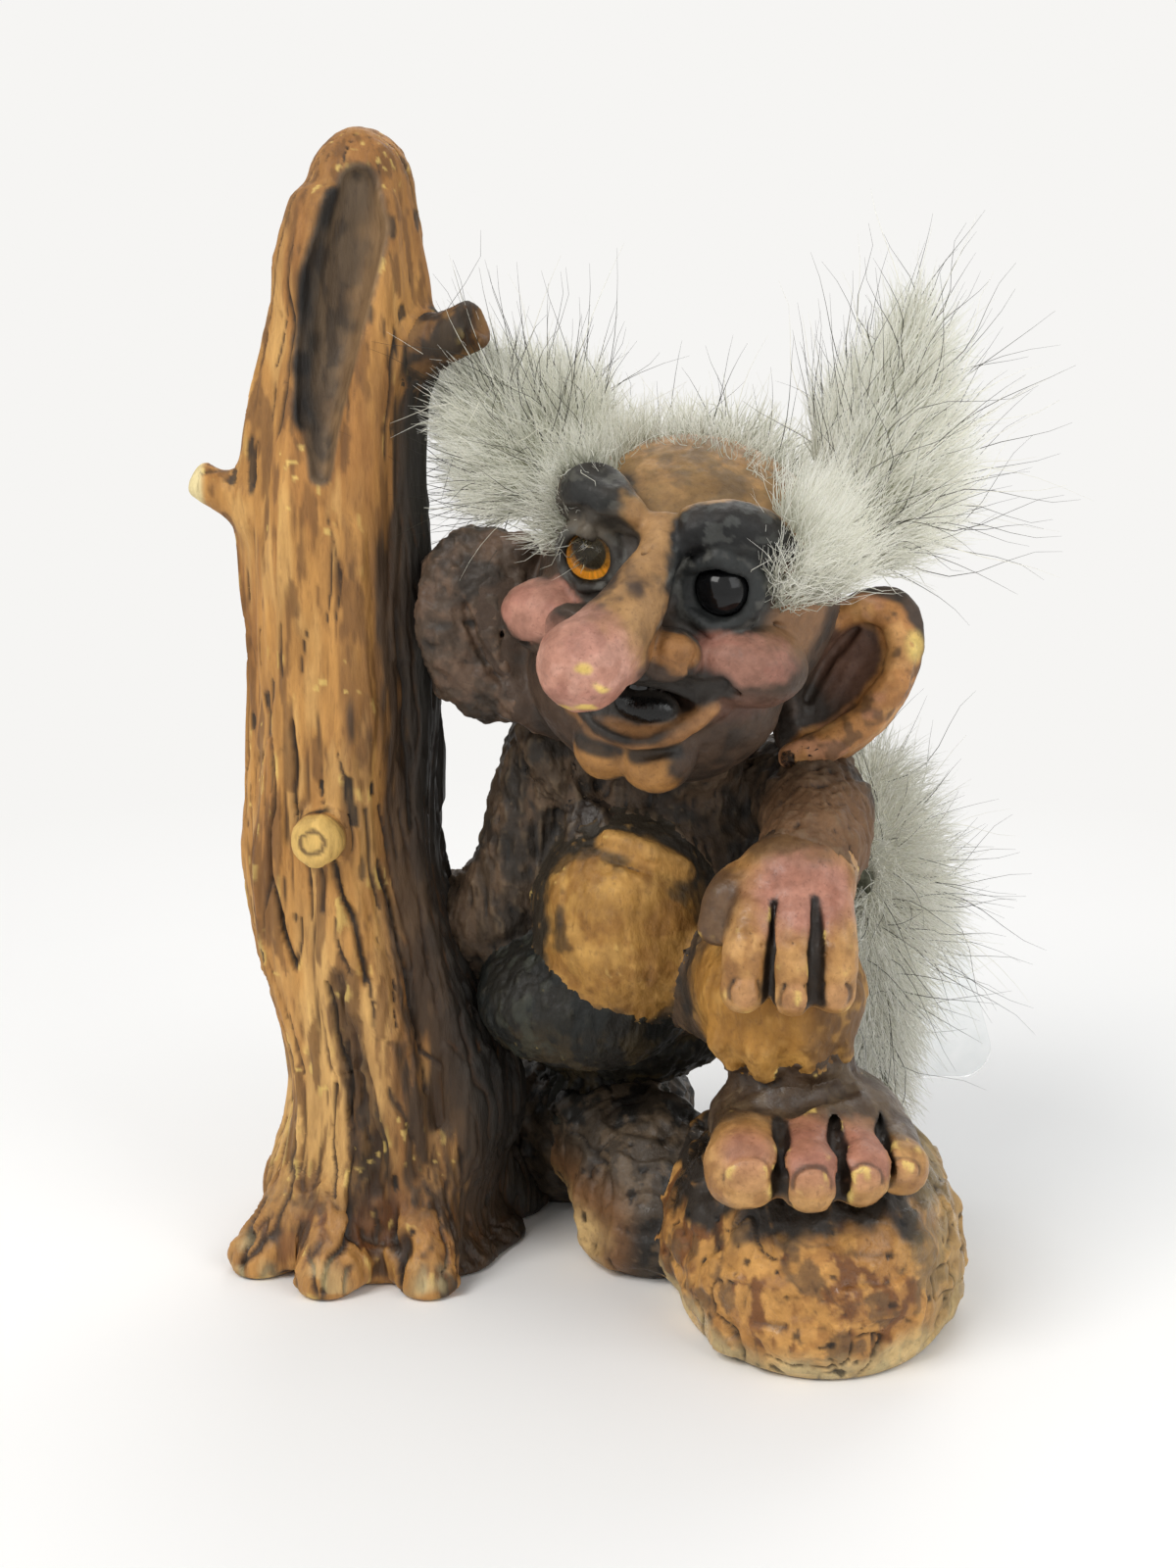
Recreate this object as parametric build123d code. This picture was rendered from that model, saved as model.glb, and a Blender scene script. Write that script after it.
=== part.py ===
"""A seated troll figure beside a tree snag: painted foam latex castings, glass eyes, fur and a fur tail.

Front is -Y, the viewer's right is +X, and +Z is up. Sizes are millimetres. The pieces are modelled where
they sit on the bench, and the whole figure is then moved so that its origin is the middle of its base.
"""

import math
import os

from build123d import *

# Foam latex castings
DOME_SWELL = 1.03  # a domed end is a ball a little larger than its limb
EGG_SEAM = 135.0  # where the seam of an ellipsoid's surface runs, turned from +X

# Tree snag: rings are height, sideways shift of the axis, and radius
TRUNK_X = -50.5
TRUNK_Y = 8.0
TRUNK_RINGS = [
    (0.0, 11.5, 26.0),
    (26.0, 10.0, 24.0),
    (62.0, 4.5, 21.5),
    (100.0, 0.0, 19.0),
    (150.0, -0.3, 18.2),
    (175.0, 0.3, 17.0),
    (202.0, 3.5, 14.2),
    (213.0, 3.6, 12.2),
    (220.0, 4.2, 10.4),
]
TRUNK_FLATNESS = 0.95  # depth of the trunk over its width
FLUTES = 7  # long ridges round the trunk
FLUTE_RISE = 1.2  # from the trunk's mean surface to the top of a ridge
FLUTE_TWIST = 0.004  # turn of the ridges round the trunk, in radians for each millimetre up
FLUTE_POINTS = 4  # outline points for each ridge
SNAG_TIP = (6.0, 2.0, 221.0)  # from the trunk axis, with the height of its middle
SNAG_TIP_RADII = (8.8, 8.0, 11.0)
HOLLOW = [
    (3.5, -12.0, 213.0, 6.6),
    (1.2, -13.0, 198.0, 5.6),
    (-1.5, -15.5, 180.0, 4.5),
    (-2.0, -17.5, 168.0, 2.4),
]
ROOT_SHOULDER = 30.0  # height where a root leaves the trunk
ROOT_RADIUS = 12.0
ROOT_TIP_RADIUS = 6.0
ROOT_REACH = [(-30.0, -17.0), (-15.0, -27.0), (6.0, -27.0), (23.0, 14.0), (6.0, 27.0), (-26.0, 21.0)]
TWIG = [(-9.0, -2.0, 156.0, 6.0), (-18.5, -3.0, 160.0, 3.8), (-28.0, -3.0, 165.0, 3.5)]
BRANCH = [(9.0, -3.0, 187.0, 7.0), (19.0, -6.0, 191.0, 4.8), (29.5, -10.0, 196.0, 5.0)]
BRANCH_ROT_RADIUS = 3.2  # the rotted end of the branch
KNOT = [(-2.0, -10.0, 94.5, 5.5), (-3.0, -19.0, 95.0, 4.9), (-3.8, -25.5, 95.4, 4.7)]

# Boulders: centre and half sizes
SEAT_ROCK = ((-4.0, 44.0, 14.0), (28.0, 26.0, 20.0))
MIDDLE_ROCK = ((14.0, 4.0, 12.0), (16.0, 22.0, 20.0))
FOOT_ROCK_AT = (46.0, -20.0)
FOOT_ROCK_RINGS = [
    (0.0, 26.5, 38.0),
    (9.0, 29.5, 41.0),
    (19.0, 29.0, 40.0),
    (28.0, 25.5, 36.0),
    (34.5, 19.0, 28.0),
]

# Troll body
TORSO = ((18.0, 13.0, 82.0), (27.0, 22.0, 36.0))
NECK = [(18.0, 8.0, 104.0, 14.0), (20.0, -2.0, 124.0, 12.0)]
LEFT_SHOULDER = (43.0, 4.0, 101.0)
RIGHT_SHOULDER = (-4.0, 8.0, 109.0)
SHOULDER_RADIUS = 11.5
TROUSER_SEAT = ((8.0, 26.0, 48.0), (26.0, 22.0, 17.5))
BIB = ((9.0, -3.0, 76.0), (19.5, 20.0, 22.0))
RIGHT_THIGH = ((-1.0, 0.0, 57.0), (22.0, 18.0, 14.0))
LEFT_THIGH = [(24.0, 16.0, 60.0, 16.0), (33.0, -12.0, 66.0, 16.0), (37.5, -31.0, 69.0, 15.5)]
LEFT_HEM = 55.5  # height of the torn hem over the shin
LEFT_SHIN = [(39.0, -29.0, 66.0, 11.0), (40.0, -31.0, 54.0, 12.0), (42.0, -32.0, 42.0, 13.5)]
INSTEP = ((43.0, -35.0, 44.0), (19.0, 20.0, 10.0))
TOES = [
    [(30.5, -43.0, 45.0, 6.4), (29.5, -57.0, 43.0, 7.2)],
    [(41.5, -45.0, 44.5, 5.6), (41.3, -60.0, 42.4, 6.2)],
    [(51.0, -43.0, 44.0, 5.2), (51.3, -57.5, 42.0, 5.7)],
    [(58.5, -39.0, 43.0, 4.8), (59.3, -52.0, 41.2, 5.2)],
]
LEFT_ARM = [(42.0, 6.0, 101.0, 11.0), (45.5, -13.0, 100.0, 10.8), (43.0, -30.0, 96.5, 9.6)]
PALM = ((39.5, -37.5, 92.5), (11.5, 8.5, 10.0))
FINGERS = [
    [(33.0, -40.0, 92.0, 4.4), (30.0, -46.8, 85.0, 4.2), (29.2, -48.6, 75.4, 3.8)],
    [(39.5, -43.0, 91.5, 4.4), (38.5, -49.4, 84.0, 4.2), (38.3, -51.0, 75.0, 3.8)],
    [(45.5, -42.0, 91.5, 4.3), (46.0, -48.6, 84.0, 4.0), (46.0, -49.5, 75.0, 3.7)],
    [(31.0, -36.0, 93.0, 4.4), (26.5, -39.0, 90.0, 4.2), (24.8, -40.5, 85.5, 3.7)],
]
RIGHT_ARM = [
    (-3.0, 9.0, 111.0, 10.0),
    (-12.0, 9.0, 95.0, 8.8),
    (-17.5, 11.0, 76.0, 10.2),
    (-38.0, 18.0, 70.5, 9.2),
]

# Strap and its button
STRAP = [
    (0.5, -2.0, 94.0, 3.4),
    (-6.0, -1.5, 105.0, 3.6),
    (-10.0, 2.0, 115.0, 3.8),
    (-6.0, 12.0, 119.5, 3.8),
    (1.0, 22.0, 112.0, 3.6),
    (8.0, 31.0, 98.0, 3.4),
    (13.0, 33.5, 84.0, 3.4),
]
BUTTON_AT = (0.3, -4.2, 96.0)
BUTTON_RADIUS = 4.4
BUTTON_THICKNESS = 5.0
BUTTON_LEAN = (70.0, -18.0, 0.0)

# Head, in its own tilted frame: x to the figure's left ear, -y out of the face, z to the crown
HEAD_AT = (20.0, -10.0, 146.0)
HEAD_YAW = -21.0
HEAD_ROLL = 10.0
HEAD_PITCH = 7.0
CRANIUM = (29.0, 30.0, 28.5)
JAW = ((-1.0, -10.0, -17.0), (25.0, 22.0, 19.5))
CHEEKS = [((-19.0, -22.5, -5.0), (10.0, 9.0, 7.0)), ((19.5, -21.0, -5.0), (11.5, 10.5, 7.5))]
NOSE = [(2.0, -24.0, 18.0, 4.8), (2.6, -35.0, 11.0, 5.0), (1.0, -43.0, 4.0, 6.6), (-1.8, -50.5, -1.5, 8.0)]
NOSE_FLANK = [(1.5, -30.0, 10.0, 4.5), (2.5, -44.0, -1.0, 5.0)]
NOSTRILS = [((9.0, -34.0, -2.5), (5.5, 6.0, 4.8)), ((-11.0, -33.0, -2.5), (5.0, 6.0, 4.8))]
MUZZLE = ((2.0, -28.0, -8.5), (16.0, 10.0, 7.5))
LOWER_LIP = [(-11.0, -25.0, -14.0, 3.6), (3.0, -34.5, -17.5, 4.0), (16.0, -25.5, -12.0, 3.4)]
CHIN = [((-2.5, -29.5, -24.0), (6.5, 6.5, 6.5)), ((7.5, -29.5, -24.5), (7.0, 6.5, 6.5))]
BROWS = [
    [(-18.5, -19.0, 18.0, 4.2), (-12.0, -25.0, 21.5, 5.4), (-5.5, -27.0, 19.5, 3.6)],
    [(5.5, -27.0, 19.5, 3.8), (14.0, -23.5, 20.5, 5.2), (22.0, -16.5, 16.5, 4.2)],
]
MOUTH = ((3.5, -37.0, -12.5), (14.0, 12.0, 3.2))
TEETH = [((-5.5, -30.6, -12.0), (2.2, 1.6, 3.8)), ((3.0, -31.6, -12.4), (2.2, 1.6, 4.2))]
EYES = {"right": ((-12.0, -25.6, 10.0), 4.6), "left": ((14.0, -24.2, 9.6), 5.2)}
IRIS_BEHIND = 1.2  # how far the iris face lies behind the middle of the eye ball
IRIS_THICKNESS = 1.2
EARS = {
    "left": {
        "at": (52.0, -4.0, 126.0),
        "along": (0.57, 0.16, 0.80),
        "facing": (-0.25, -0.92, 0.30),
        "half_size": (20.0, 12.0, 5.5),
    },
    "right": {
        "at": (-19.7, -3.2, 136.3),
        "along": (-0.20, 0.05, 0.97),
        "facing": (0.30, -0.95, 0.10),
        "half_size": (19.5, 14.5, 6.0),
    },
}
EAR_BOWL_SHARE = (0.72, 0.62, 0.84)  # the bowl's half sizes over the ear's

# Fur on the head, and the hide that carries it
HIDE = 1.5
HAIR_LINE = -2.0  # the hide begins this far behind the face's middle, in the head's own frame
LEFT_EAR_TUFT = [
    (40.0, 6.0, 154.0, 15.0),
    (56.0, 6.0, 164.0, 18.0),
    (62.0, 8.0, 183.0, 11.0),
    (65.0, 9.0, 201.0, 4.0),
]
RIGHT_EAR_TUFT = [(4.0, 8.0, 164.0, 12.0), (-12.0, 8.0, 171.0, 16.5), (-20.0, 8.0, 178.0, 10.5)]
BACK_HAIR = ((21.0, 14.0, 150.0), (33.0, 21.0, 28.0))

# Tail: a rolled hide stem that turns in a socket in the flank, and hangs outside it
TAIL_AXIS_Y = 23.0
TAIL_AXIS_Z = 80.0
TAIL_STEM_RADIUS = 3.5
RUNNING_GAP = 0.05  # radial gap of a turning fit
SOCKET_INNER = 30.0  # x of the inner end of the socket
STEM_COLLAR_RADIUS = 5.6  # the collar inside the torso that keeps the stem in its socket
STEM_COLLAR = 2.0
COLLAR_GAP = 0.4
TAIL_START = 46.5  # x where the fur begins
TAIL_BEND_X = 56.0  # x where the core turns down
TAIL_CORE = [(57.5, 0.3, 79.3, 3.5), (64.5, 0.6, 69.0, 3.4), (66.5, 1.0, 48.0, 3.0), (65.5, 1.0, 22.0, 2.2)]
TAIL_FUR = [
    (60.0, 0.0, 97.0, 9.0),
    (62.5, 0.5, 78.0, 13.0),
    (64.0, 1.0, 55.0, 13.0),
    (64.5, 1.0, 34.0, 9.5),
    (64.5, 1.0, 21.0, 5.5),
]
TAIL_FUR_START_RADIUS = 8.0

# Clear hang tag on a plastic pin
TAG_PIN_X = 66.0
TAG_PIN_Z = 62.0
TAG_PIN_RADIUS = 1.2
TAG_PIN_HEAD_RADIUS = 2.6
TAG_PIN_HEAD = 1.0
TAG_FACE_Y = 39.0  # depth of the tag's front face
TAG_TOP_WIDTH = 31.0
TAG_WIDTH = 55.0
TAG_HEIGHT = 42.0
TAG_THICKNESS = 1.2
TAG_CORNER = 7.0
TAG_HOLE_DROP = 4.5  # from the tag's top edge to its hole
TAG_HEAD_GAP = 0.5  # between the tag and the head of its pin


def egg(centre, radii):
    """An ellipsoid from its centre and its three half sizes, with its seam turned behind."""
    return Pos(*centre) * scale(Rot(Z=EGG_SEAM) * Sphere(1), by=radii)


def limb(stations, domed=(1,)):
    """A round limb that swells and tapers through stations of x, y, z and radius.

    domed says which of its ends are rounded: 0 for the near end, 1 for the far one.
    """
    points = [Vector(x, y, z) for x, y, z, _ in stations]
    radii = [r for *_, r in stations]
    runs = [b - a for a, b in zip(points, points[1:])]
    leads = [runs[0]] + [a.normalized() + b.normalized() for a, b in zip(runs, runs[1:])] + [runs[-1]]
    across = side_vector(points[-1] - points[0])
    rings = [Plane(p, x_dir=across - d * (across.dot(d) / d.dot(d)), z_dir=d) for p, d in zip(points, leads)]
    shape = loft([ring * Circle(r) for ring, r in zip(rings, radii)])
    for end in domed:
        dome = rings[-end] * Sphere(radii[-end] * DOME_SWELL)
        shape = shape.fuse(dome)
    return shape


def side_vector(direction):
    """A steady sideways direction for the rings of a limb, square to the world axis that it follows least."""
    axes = [Vector(1, 0, 0), Vector(0, 1, 0), Vector(0, 0, 1)]
    return min(axes, key=lambda axis: abs(axis.dot(direction)))


def boulder(at, rings):
    """A boulder lofted through ellipses of height, half width and half depth."""
    return loft([Pos(*at, z) * Ellipse(a, b) for z, a, b in rings])


def on_axis(stations):
    """Stations given from the trunk's axis, as places on the bench."""
    return [(TRUNK_X + x, TRUNK_Y + y, z, r) for x, y, z, r in stations]


def grounded(shape):
    """What of a shape is above the floor."""
    return split(shape, bisect_by=Plane.XY, keep=Keep.TOP)


def head_place():
    """The tilted frame of the head."""
    return Pos(*HEAD_AT) * Rot(Z=HEAD_YAW) * Rot(Y=HEAD_ROLL) * Rot(X=HEAD_PITCH)


def bark_ring(height, shift, radius):
    """An outline of the trunk at a height, with the ridges of its bark."""
    outline = []
    for k in range(FLUTES * FLUTE_POINTS):
        turn = 2 * math.pi * k / (FLUTES * FLUTE_POINTS)
        reach = radius + FLUTE_RISE * math.cos(2 * math.pi * k / FLUTE_POINTS)
        angle = turn + FLUTE_TWIST * height
        outline.append((reach * math.cos(angle), reach * math.sin(angle) * TRUNK_FLATNESS))
    return Pos(TRUNK_X + shift, TRUNK_Y, height) * make_face(Spline(outline, periodic=True))


def make_trunk():
    """The snag with its tip, its roots and the rotted hollow down its front."""
    x, y, z = SNAG_TIP
    tip = egg((TRUNK_X + x, TRUNK_Y + y, z), SNAG_TIP_RADII)
    base_x = TRUNK_X + TRUNK_RINGS[0][1]
    roots = []
    for dx, dy in ROOT_REACH:
        start = (base_x + dx * 0.25, TRUNK_Y + dy * 0.25, ROOT_SHOULDER, ROOT_RADIUS)
        bend_radius = (ROOT_RADIUS + ROOT_TIP_RADIUS) / 2
        bend = (base_x + dx * 0.65, TRUNK_Y + dy * 0.65, ROOT_SHOULDER * 0.4, bend_radius)
        end = (base_x + dx, TRUNK_Y + dy, ROOT_TIP_RADIUS * 0.35, ROOT_TIP_RADIUS)
        roots.append(limb([start, bend, end]))
    rings = [bark_ring(*ring) for ring in TRUNK_RINGS]
    solid = grounded(loft(rings).fuse(tip, *roots))
    return solid - limb(on_axis(HOLLOW), domed=(0, 1))


def make_twigs(trunk):
    """The broken twig, the rotted branch and the sawn knot, each glued to the trunk."""
    twig = limb(on_axis(TWIG), domed=()) - trunk
    branch_end = on_axis(BRANCH)[-1]
    rot = egg(branch_end[:3], (BRANCH_ROT_RADIUS,) * 3)
    branch = limb(on_axis(BRANCH), domed=()) - trunk - rot
    knot = limb(on_axis(KNOT), domed=()) - trunk
    return {"trunk_twig": twig, "trunk_branch": branch, "trunk_knot": knot}


def make_head():
    """The head with its nose, cheeks, lips and chin, solid, in its own frame."""
    lumps = [egg(*spec) for spec in [JAW, MUZZLE, *CHEEKS, *NOSTRILS, *CHIN]]
    lumps += [limb(NOSE), limb(NOSE_FLANK, domed=(0, 1)), limb(LOWER_LIP)] + [limb(brow) for brow in BROWS]
    return egg((0, 0, 0), CRANIUM).fuse(*lumps) - egg(*MOUTH)


def make_eye(centre, radius):
    """The glass front and the painted iris behind it, in the head's own frame."""
    ball = Pos(*centre) * Sphere(radius)
    x, y, z = centre
    front = Pos(x, y + IRIS_BEHIND - radius, z) * Box(4 * radius, 2 * radius, 4 * radius)
    slab = Pos(x, y + IRIS_BEHIND + IRIS_THICKNESS / 2, z) * Box(4 * radius, IRIS_THICKNESS, 4 * radius)
    return ball & front, ball & slab, ball


def make_ear(at, along, facing, half_size):
    """A long ear with its bowl."""
    frame = Plane(at, x_dir=along, z_dir=facing).location
    bowl = tuple(size * share for size, share in zip(half_size, EAR_BOWL_SHARE))
    return frame * (egg((0, 0, 0), half_size) - egg((0, 0, half_size[2] * 0.8), bowl))


def along_x(start, end, y, z, radius):
    """A round bar that lies along X."""
    return Pos((start + end) / 2, y, z) * Rot(Y=90) * Cylinder(radius, end - start)


def along_y(start, end, x, z, radius):
    """A round bar that lies along Y."""
    return Pos(x, (start + end) / 2, z) * Rot(X=90) * Cylinder(radius, end - start)


def tail_stations(stations):
    """Stations given from the depth of the tail's axis, as places on the bench."""
    return [(x, TAIL_AXIS_Y + y, z, r) for x, y, z, r in stations]


def make_tail():
    """The hide core with its stem and collar, and the pin that carries the tag."""
    collar_end = SOCKET_INNER - COLLAR_GAP
    stem = along_x(collar_end - STEM_COLLAR, TAIL_BEND_X, TAIL_AXIS_Y, TAIL_AXIS_Z, TAIL_STEM_RADIUS)
    collar = along_x(collar_end - STEM_COLLAR, collar_end, TAIL_AXIS_Y, TAIL_AXIS_Z, STEM_COLLAR_RADIUS)
    bend = Pos(TAIL_BEND_X, TAIL_AXIS_Y, TAIL_AXIS_Z) * Sphere(TAIL_STEM_RADIUS * DOME_SWELL)
    hanging = limb(tail_stations(TAIL_CORE), domed=(0, 1))
    core = stem.fuse(collar, bend, hanging)
    start = along_x(TAIL_START, TAIL_BEND_X, TAIL_AXIS_Y, TAIL_AXIS_Z, TAIL_FUR_START_RADIUS)
    fur = limb(tail_stations(TAIL_FUR), domed=(0, 1)).fuse(start)
    tag_back = TAG_FACE_Y + TAG_THICKNESS + TAG_HEAD_GAP
    shank = along_y(TAIL_AXIS_Y, tag_back + TAG_PIN_HEAD, TAG_PIN_X, TAG_PIN_Z, TAG_PIN_RADIUS)
    cap = along_y(tag_back, tag_back + TAG_PIN_HEAD, TAG_PIN_X, TAG_PIN_Z, TAG_PIN_HEAD_RADIUS)
    pin = shank.fuse(cap) - core
    pin = largest(pin)
    return {"tail_core": core, "tag_pin": pin, "tail_fur": fur - core - pin}


def make_tag():
    """The pear-shaped clear tag, hanging from its hole."""
    half_top = TAG_TOP_WIDTH / 2
    half_width = TAG_WIDTH / 2
    top = TAG_HOLE_DROP
    low = top - TAG_HEIGHT
    corners = [(-half_top, top), (half_top, top), (half_width, low), (-half_width, low)]
    outline = make_face(Polyline(corners, close=True))
    outline = fillet(outline.vertices(), TAG_CORNER)
    outline -= Circle(TAG_PIN_RADIUS + RUNNING_GAP)
    upright = Plane((TAG_PIN_X, TAG_FACE_Y, TAG_PIN_Z), x_dir=(1, 0, 0), z_dir=(0, -1, 0))
    return extrude(upright * outline, -TAG_THICKNESS)


def largest(shape):
    """The main solid of a shape whose cutting left crumbs."""
    return max(shape.solids(), key=lambda solid: solid.volume)


def boxes_meet(a, b):
    """Whether two shapes lie near enough for one to cut the other."""
    p, q = a.bounding_box(), b.bounding_box()
    spans = [(p.min.X, q.max.X), (q.min.X, p.max.X), (p.min.Y, q.max.Y), (q.min.Y, p.max.Y)]
    spans += [(p.min.Z, q.max.Z), (q.min.Z, p.max.Z)]
    return all(low < high for low, high in spans)


def socketed(torso):
    """The torso with the socket that the tail's stem turns in, and the room for the stem's collar."""
    pocket_start = SOCKET_INNER - STEM_COLLAR - 2 * COLLAR_GAP
    pocket = along_x(pocket_start, SOCKET_INNER, TAIL_AXIS_Y, TAIL_AXIS_Z, STEM_COLLAR_RADIUS + COLLAR_GAP)
    bore = along_x(SOCKET_INNER - 0.1, TAIL_START, TAIL_AXIS_Y, TAIL_AXIS_Z, TAIL_STEM_RADIUS + RUNNING_GAP)
    return torso - pocket - bore


def build():
    """Every piece by name, each cut by the larger pieces that it is glued to."""
    made = {}

    def cut(shape, *names):
        for name in names:
            if boxes_meet(shape, made[name]):
                shape = shape - made[name]
        return largest(shape)

    made["trunk"] = make_trunk()
    made.update(make_twigs(made["trunk"]))
    made["seat_rock"] = cut(grounded(egg(*SEAT_ROCK)), "trunk")
    made["middle_rock"] = cut(grounded(egg(*MIDDLE_ROCK)), "seat_rock", "trunk")
    made["foot_rock"] = cut(boulder(FOOT_ROCK_AT, FOOT_ROCK_RINGS), "middle_rock")

    shoulders = [Pos(*at) * Sphere(SHOULDER_RADIUS) for at in (LEFT_SHOULDER, RIGHT_SHOULDER)]
    made["torso"] = cut(egg(*TORSO).fuse(limb(NECK), *shoulders), "trunk")
    made["trouser_seat"] = cut(egg(*TROUSER_SEAT), "torso", "trunk", "seat_rock")
    made["trouser_bib"] = cut(egg(*BIB), "torso", "trouser_seat")
    left_leg = split(limb(LEFT_THIGH), bisect_by=Plane.XY.offset(LEFT_HEM), keep=Keep.TOP)
    made["left_trouser_leg"] = cut(left_leg, "torso", "trouser_seat", "trouser_bib")
    made["right_trouser_leg"] = cut(
        egg(*RIGHT_THIGH), "torso", "trouser_seat", "trouser_bib", "left_trouser_leg", "trunk"
    )
    foot = egg(*INSTEP).fuse(*[limb(toe) for toe in TOES])
    made["left_foot"] = cut(foot, "left_trouser_leg", "foot_rock", "middle_rock")
    made["left_shin"] = cut(limb(LEFT_SHIN), "left_foot", "left_trouser_leg", "foot_rock", "middle_rock")
    made["left_arm"] = cut(limb(LEFT_ARM), "torso", "trouser_bib")
    hand = egg(*PALM).fuse(*[limb(finger) for finger in FINGERS])
    made["left_hand"] = cut(hand, "left_arm", "left_trouser_leg", "trouser_bib")
    made["right_arm"] = cut(
        limb(RIGHT_ARM), "torso", "trunk", "trouser_bib", "trouser_seat", "right_trouser_leg"
    )

    made["shoulder_strap"] = cut(limb(STRAP), "torso", "trouser_bib", "right_arm")
    button = Pos(*BUTTON_AT) * Rot(*BUTTON_LEAN) * Cylinder(BUTTON_RADIUS, BUTTON_THICKNESS)
    made["strap_button"] = cut(button, "torso", "trouser_bib", "shoulder_strap")

    tilt = head_place()
    head = tilt * make_head()
    for side, (centre, radius) in EYES.items():
        glass, iris, ball = make_eye(centre, radius)
        made[f"{side}_eye_glass"] = tilt * glass
        made[f"{side}_eye_iris"] = tilt * iris
        head = head - tilt * ball
    made["head"] = cut(head, "torso", "left_arm", "shoulder_strap", "right_arm")
    teeth = [largest(tilt * egg(*tooth) - made["head"]) for tooth in TEETH]
    made["teeth"] = Compound(teeth)
    for side, ear in EARS.items():
        made[f"{side}_ear"] = cut(make_ear(**ear), "head", "trunk", "torso", "left_arm")

    scalp = egg((0, 0, 0), tuple(r + HIDE for r in CRANIUM))
    face_side = Pos(0, HAIR_LINE - 100, 0) * Box(200, 200, 200)
    made["hair_hide"] = cut(tilt * (scalp - face_side), "head", "torso", "left_ear", "right_ear")
    made["hair_back"] = cut(egg(*BACK_HAIR), "hair_hide", "head", "torso", "left_ear", "right_ear")
    made["hair_left"] = cut(limb(LEFT_EAR_TUFT), "hair_back", "hair_hide", "head", "left_ear")
    made["hair_right"] = cut(limb(RIGHT_EAR_TUFT), "hair_back", "hair_hide", "head", "right_ear", "trunk")
    made.update(make_tail())
    made["tag"] = make_tag()
    made["torso"] = socketed(made["torso"])
    return made


def centre_shift(made):
    """The move that puts the middle of the whole figure's plan over the origin."""
    box = Compound([solid for shape in made.values() for solid in shape.solids()]).bounding_box()
    return Pos(-(box.min.X + box.max.X) / 2, -(box.min.Y + box.max.Y) / 2, 0)


def main():
    made = build()
    shift = centre_shift(made)
    os.makedirs("parts", exist_ok=True)
    for name, shape in made.items():
        export_step(shift * shape, f"parts/{name}.step")
    print("moved by", [round(v, 3) for v in shift.position], "pieces", len(made))


if __name__ == "__main__":
    main()
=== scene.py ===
"""The looks of a seated troll figure beside a tree snag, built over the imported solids.

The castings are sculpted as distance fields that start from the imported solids, so that neighbours flow into
one another as one casting does; each solid then gets its own piece of that field. Fur is made of strands.
Places are written in millimetres on the bench where the figure was modelled, and moved to the row frame.
"""

import math

import bpy
import numpy as np
import openvdb as vdb
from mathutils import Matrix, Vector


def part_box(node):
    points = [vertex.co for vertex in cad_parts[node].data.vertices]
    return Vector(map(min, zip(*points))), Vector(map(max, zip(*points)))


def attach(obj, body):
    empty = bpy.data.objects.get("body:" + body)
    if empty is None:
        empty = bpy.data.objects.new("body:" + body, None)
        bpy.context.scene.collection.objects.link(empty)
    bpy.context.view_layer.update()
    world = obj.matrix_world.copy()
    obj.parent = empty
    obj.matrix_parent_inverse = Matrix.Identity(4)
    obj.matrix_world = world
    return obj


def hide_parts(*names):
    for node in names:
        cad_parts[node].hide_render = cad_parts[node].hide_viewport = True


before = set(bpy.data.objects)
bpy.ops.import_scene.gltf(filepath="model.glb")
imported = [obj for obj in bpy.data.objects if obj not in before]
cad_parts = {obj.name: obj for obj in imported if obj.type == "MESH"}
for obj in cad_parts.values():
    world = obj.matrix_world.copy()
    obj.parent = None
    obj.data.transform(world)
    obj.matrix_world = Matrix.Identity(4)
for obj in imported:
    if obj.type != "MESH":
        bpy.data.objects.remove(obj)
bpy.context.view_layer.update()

MM = 0.001
TAG_MIDDLE = 66.0  # the tag's middle and front face on the bench, which show how far the row frame is moved
TAG_FACE = 39.0
tag_low, tag_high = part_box("tag")
BENCH = np.array([(tag_low[0] + tag_high[0]) / 2 / MM - TAG_MIDDLE, tag_low[1] / MM - TAG_FACE, 0.0])
BAND = 6.0  # how far a solid's distance is known, inside and outside
SINK = 0.4  # neighbours are swollen by this much before they are joined, which closes their seams

# Solids that are sculpted together, in the order in which they are joined
SNAG_NODES = ["trunk", "trunk_twig", "trunk_branch", "trunk_knot"]
BODY_NODES = [
    "seat_rock", "middle_rock", "foot_rock", "torso", "trouser_seat", "trouser_bib", "right_trouser_leg",
    "left_trouser_leg", "left_arm", "right_arm", "left_shin", "left_foot", "left_hand", "shoulder_strap",
    "strap_button",
]
HEAD_NODES = ["head", "left_ear", "right_ear"]

# Camera of the photograph
CAMERA_TARGET = (0.0, 0.0, 103.0)
CAMERA_DISTANCE = 500.0
CAMERA_DROP = 14.0
CAMERA_LENS = 56.25

# Floor and lamps, in metres and watts; the paper fades into the backdrop between two distances
FLOOR_SIZE = 12.0
FLOOR_DROP = 0.0002
FLOOR_FADE = (0.16, 0.42)
LAMPS = [  # name, place, aim, size, power and colour
    ("key", (-0.70, -0.70, 1.05), (0, 0, 0.1), 0.7, 11.0, (1.0, 0.985, 0.96)),
    ("fill", (0.95, -0.8, 0.7), (0, 0, 0.1), 1.0, 6.5, (0.97, 0.99, 1.0)),
    ("back", (0.2, 0.9, 0.9), (0, 0, 0.12), 0.9, 5.0, (1, 1, 1)),
]

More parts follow.
